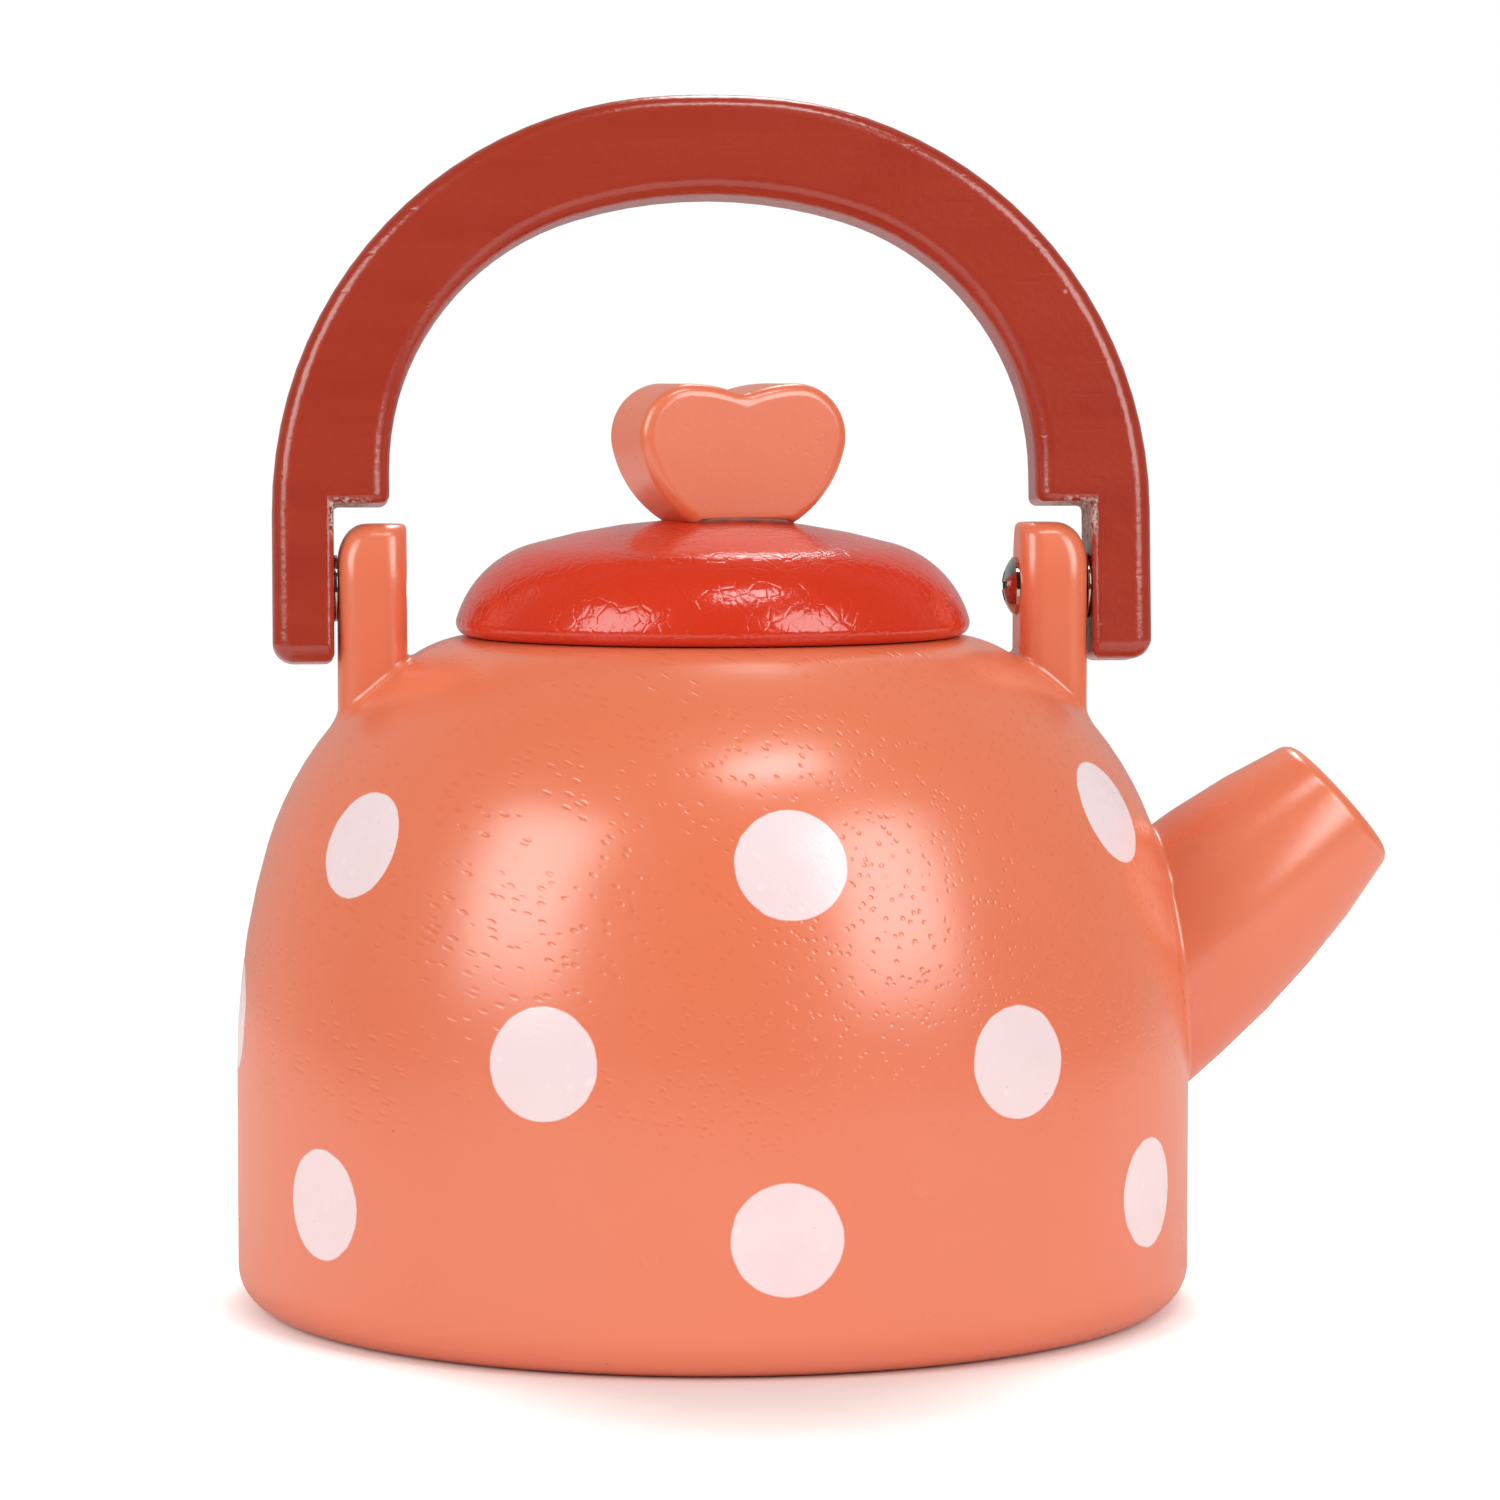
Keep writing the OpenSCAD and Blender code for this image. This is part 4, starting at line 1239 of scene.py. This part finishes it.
def seen_directly(mix):
    """1 for what the camera sees, straight or through a clear piece, and 0 for other rays."""
    camera = mix.node("ShaderNodeLightPath", out="Is Camera Ray")
    through = mix.node("ShaderNodeLightPath", out="Is Transmission Ray")
    return mix.math("MAXIMUM", camera, through)


def lay_floor(paints):
    """A pale floor that goes over into the white of the room."""
    bm = bmesh.new()
    bmesh.ops.create_grid(bm, x_segments=8, y_segments=8, size=FLOOR_HALF)
    mesh = bpy.data.meshes.new("pale_floor")
    bm.to_mesh(mesh)
    bm.free()
    floor = bpy.data.objects.new("pale_floor", mesh)
    bpy.context.scene.collection.objects.link(floor)
    material, mix = new_finish("pale_floor")
    place = mix.place()
    ahead = mix.turned(place, location=(0.0, SHADOW_AHEAD, 0.0), scale=(1.0, SHADOW_STRETCH, 1.0))
    past_shadow = mix.ramp(mix.far(ahead), *SHADOW_FADE)
    past_base = mix.ramp(mix.far(place), *BASE_FADE)
    mottle = mix.noise(place, 30.0)
    # Painted bounce light: the floor's colour and mottle carry a pink tint from the coral body.
    base = mix.blend(mottle * 0.2, paints.floor, paints.floor_mottle)
    matt = mix.node("ShaderNodeBsdfDiffuse", {}, {"Color": base})
    glow = past_shadow * past_base * seen_directly(mix)
    lift = mix.node("ShaderNodeEmission", {}, {"Color": glow, "Strength": 1.0})
    both = mix.node("ShaderNodeAddShader", {}, {0: matt, 1: lift})
    mix.node("ShaderNodeOutputMaterial", {}, {"Surface": both})
    mesh.materials.append(material)


def place_camera():
    """The camera at the photograph's place and lens."""
    data = bpy.data.cameras.new("front_camera")
    data.lens = CAMERA_LENS
    data.sensor_width = 36.0
    camera = bpy.data.objects.new("front_camera", data)
    outward = direction(CAMERA_AZIMUTH, 0)
    sideways = Vector((math.cos(CAMERA_AZIMUTH), math.sin(CAMERA_AZIMUTH), 0))
    level = sideways * math.sin(CAMERA_YAW) - outward * math.cos(CAMERA_YAW)
    forward = level * math.cos(CAMERA_PITCH) - Vector((0, 0, math.sin(CAMERA_PITCH)))
    camera.location = outward * CAMERA_DISTANCE + Vector((0, 0, CAMERA_HEIGHT))
    camera.rotation_euler = forward.to_track_quat("-Z", "Y").to_euler()
    bpy.context.scene.collection.objects.link(camera)
    bpy.context.scene.camera = camera


class TOYKETTLE_OT_stage(bpy.types.Operator):
    """Lay the floor, hang the lights and place the camera"""

    bl_idname = "toy_kettle.stage"
    bl_label = "Stage"

    def execute(self, context):
        context.scene.view_settings.view_transform = "Standard"
        lay_floor(context.scene.toy_kettle.paints)
        light_room()
        for softbox in SOFTBOXES:
            hang_softbox(*softbox)
        place_camera()
        return {"FINISHED"}


class TOYKETTLE_PT_panel(bpy.types.Panel):
    """The kettle's pieces and sizes in the sidebar"""

    bl_idname = "TOYKETTLE_PT_panel"
    bl_label = "Toy Kettle"
    bl_space_type = "VIEW_3D"
    bl_region_type = "UI"
    bl_category = "Toy Kettle"

    def draw(self, context):
        settings = context.scene.toy_kettle
        for operator in OPERATORS:
            self.layout.operator(operator.bl_idname)
        for name in ToyKettleSettings.__annotations__:
            group = getattr(settings, name)
            box = self.layout.box()
            box.label(text=name.capitalize())
            for size in type(group).__annotations__:
                box.prop(group, size)


OPERATORS = (
    TOYKETTLE_OT_body,
    TOYKETTLE_OT_lugs,
    TOYKETTLE_OT_spout,
    TOYKETTLE_OT_lid,
    TOYKETTLE_OT_heart,
    TOYKETTLE_OT_dowel,
    TOYKETTLE_OT_handle,
    TOYKETTLE_OT_pivots,
    TOYKETTLE_OT_stage,
)
GROUPS = (
    ToyKettleBody,
    ToyKettleSpout,
    ToyKettleLugs,
    ToyKettleLid,
    ToyKettleHeart,
    ToyKettleHandle,
    ToyKettlePivots,
    ToyKettlePaints,
    ToyKettleSettings,
)


def register():
    for cls in (*GROUPS, *OPERATORS, TOYKETTLE_PT_panel):
        bpy.utils.register_class(cls)
    bpy.types.Scene.toy_kettle = bpy.props.PointerProperty(type=ToyKettleSettings)


def unregister():
    del bpy.types.Scene.toy_kettle
    for cls in reversed((*GROUPS, *OPERATORS, TOYKETTLE_PT_panel)):
        bpy.utils.unregister_class(cls)


def main():
    register()
    bpy.ops.toy_kettle.stage()
    bpy.ops.toy_kettle.body()
    bpy.ops.toy_kettle.lugs()
    bpy.ops.toy_kettle.spout()
    bpy.ops.toy_kettle.lid()
    bpy.ops.toy_kettle.heart()
    bpy.ops.toy_kettle.dowel()
    bpy.ops.toy_kettle.handle()
    bpy.ops.toy_kettle.pivots()


if __name__ == "__main__":
    main()
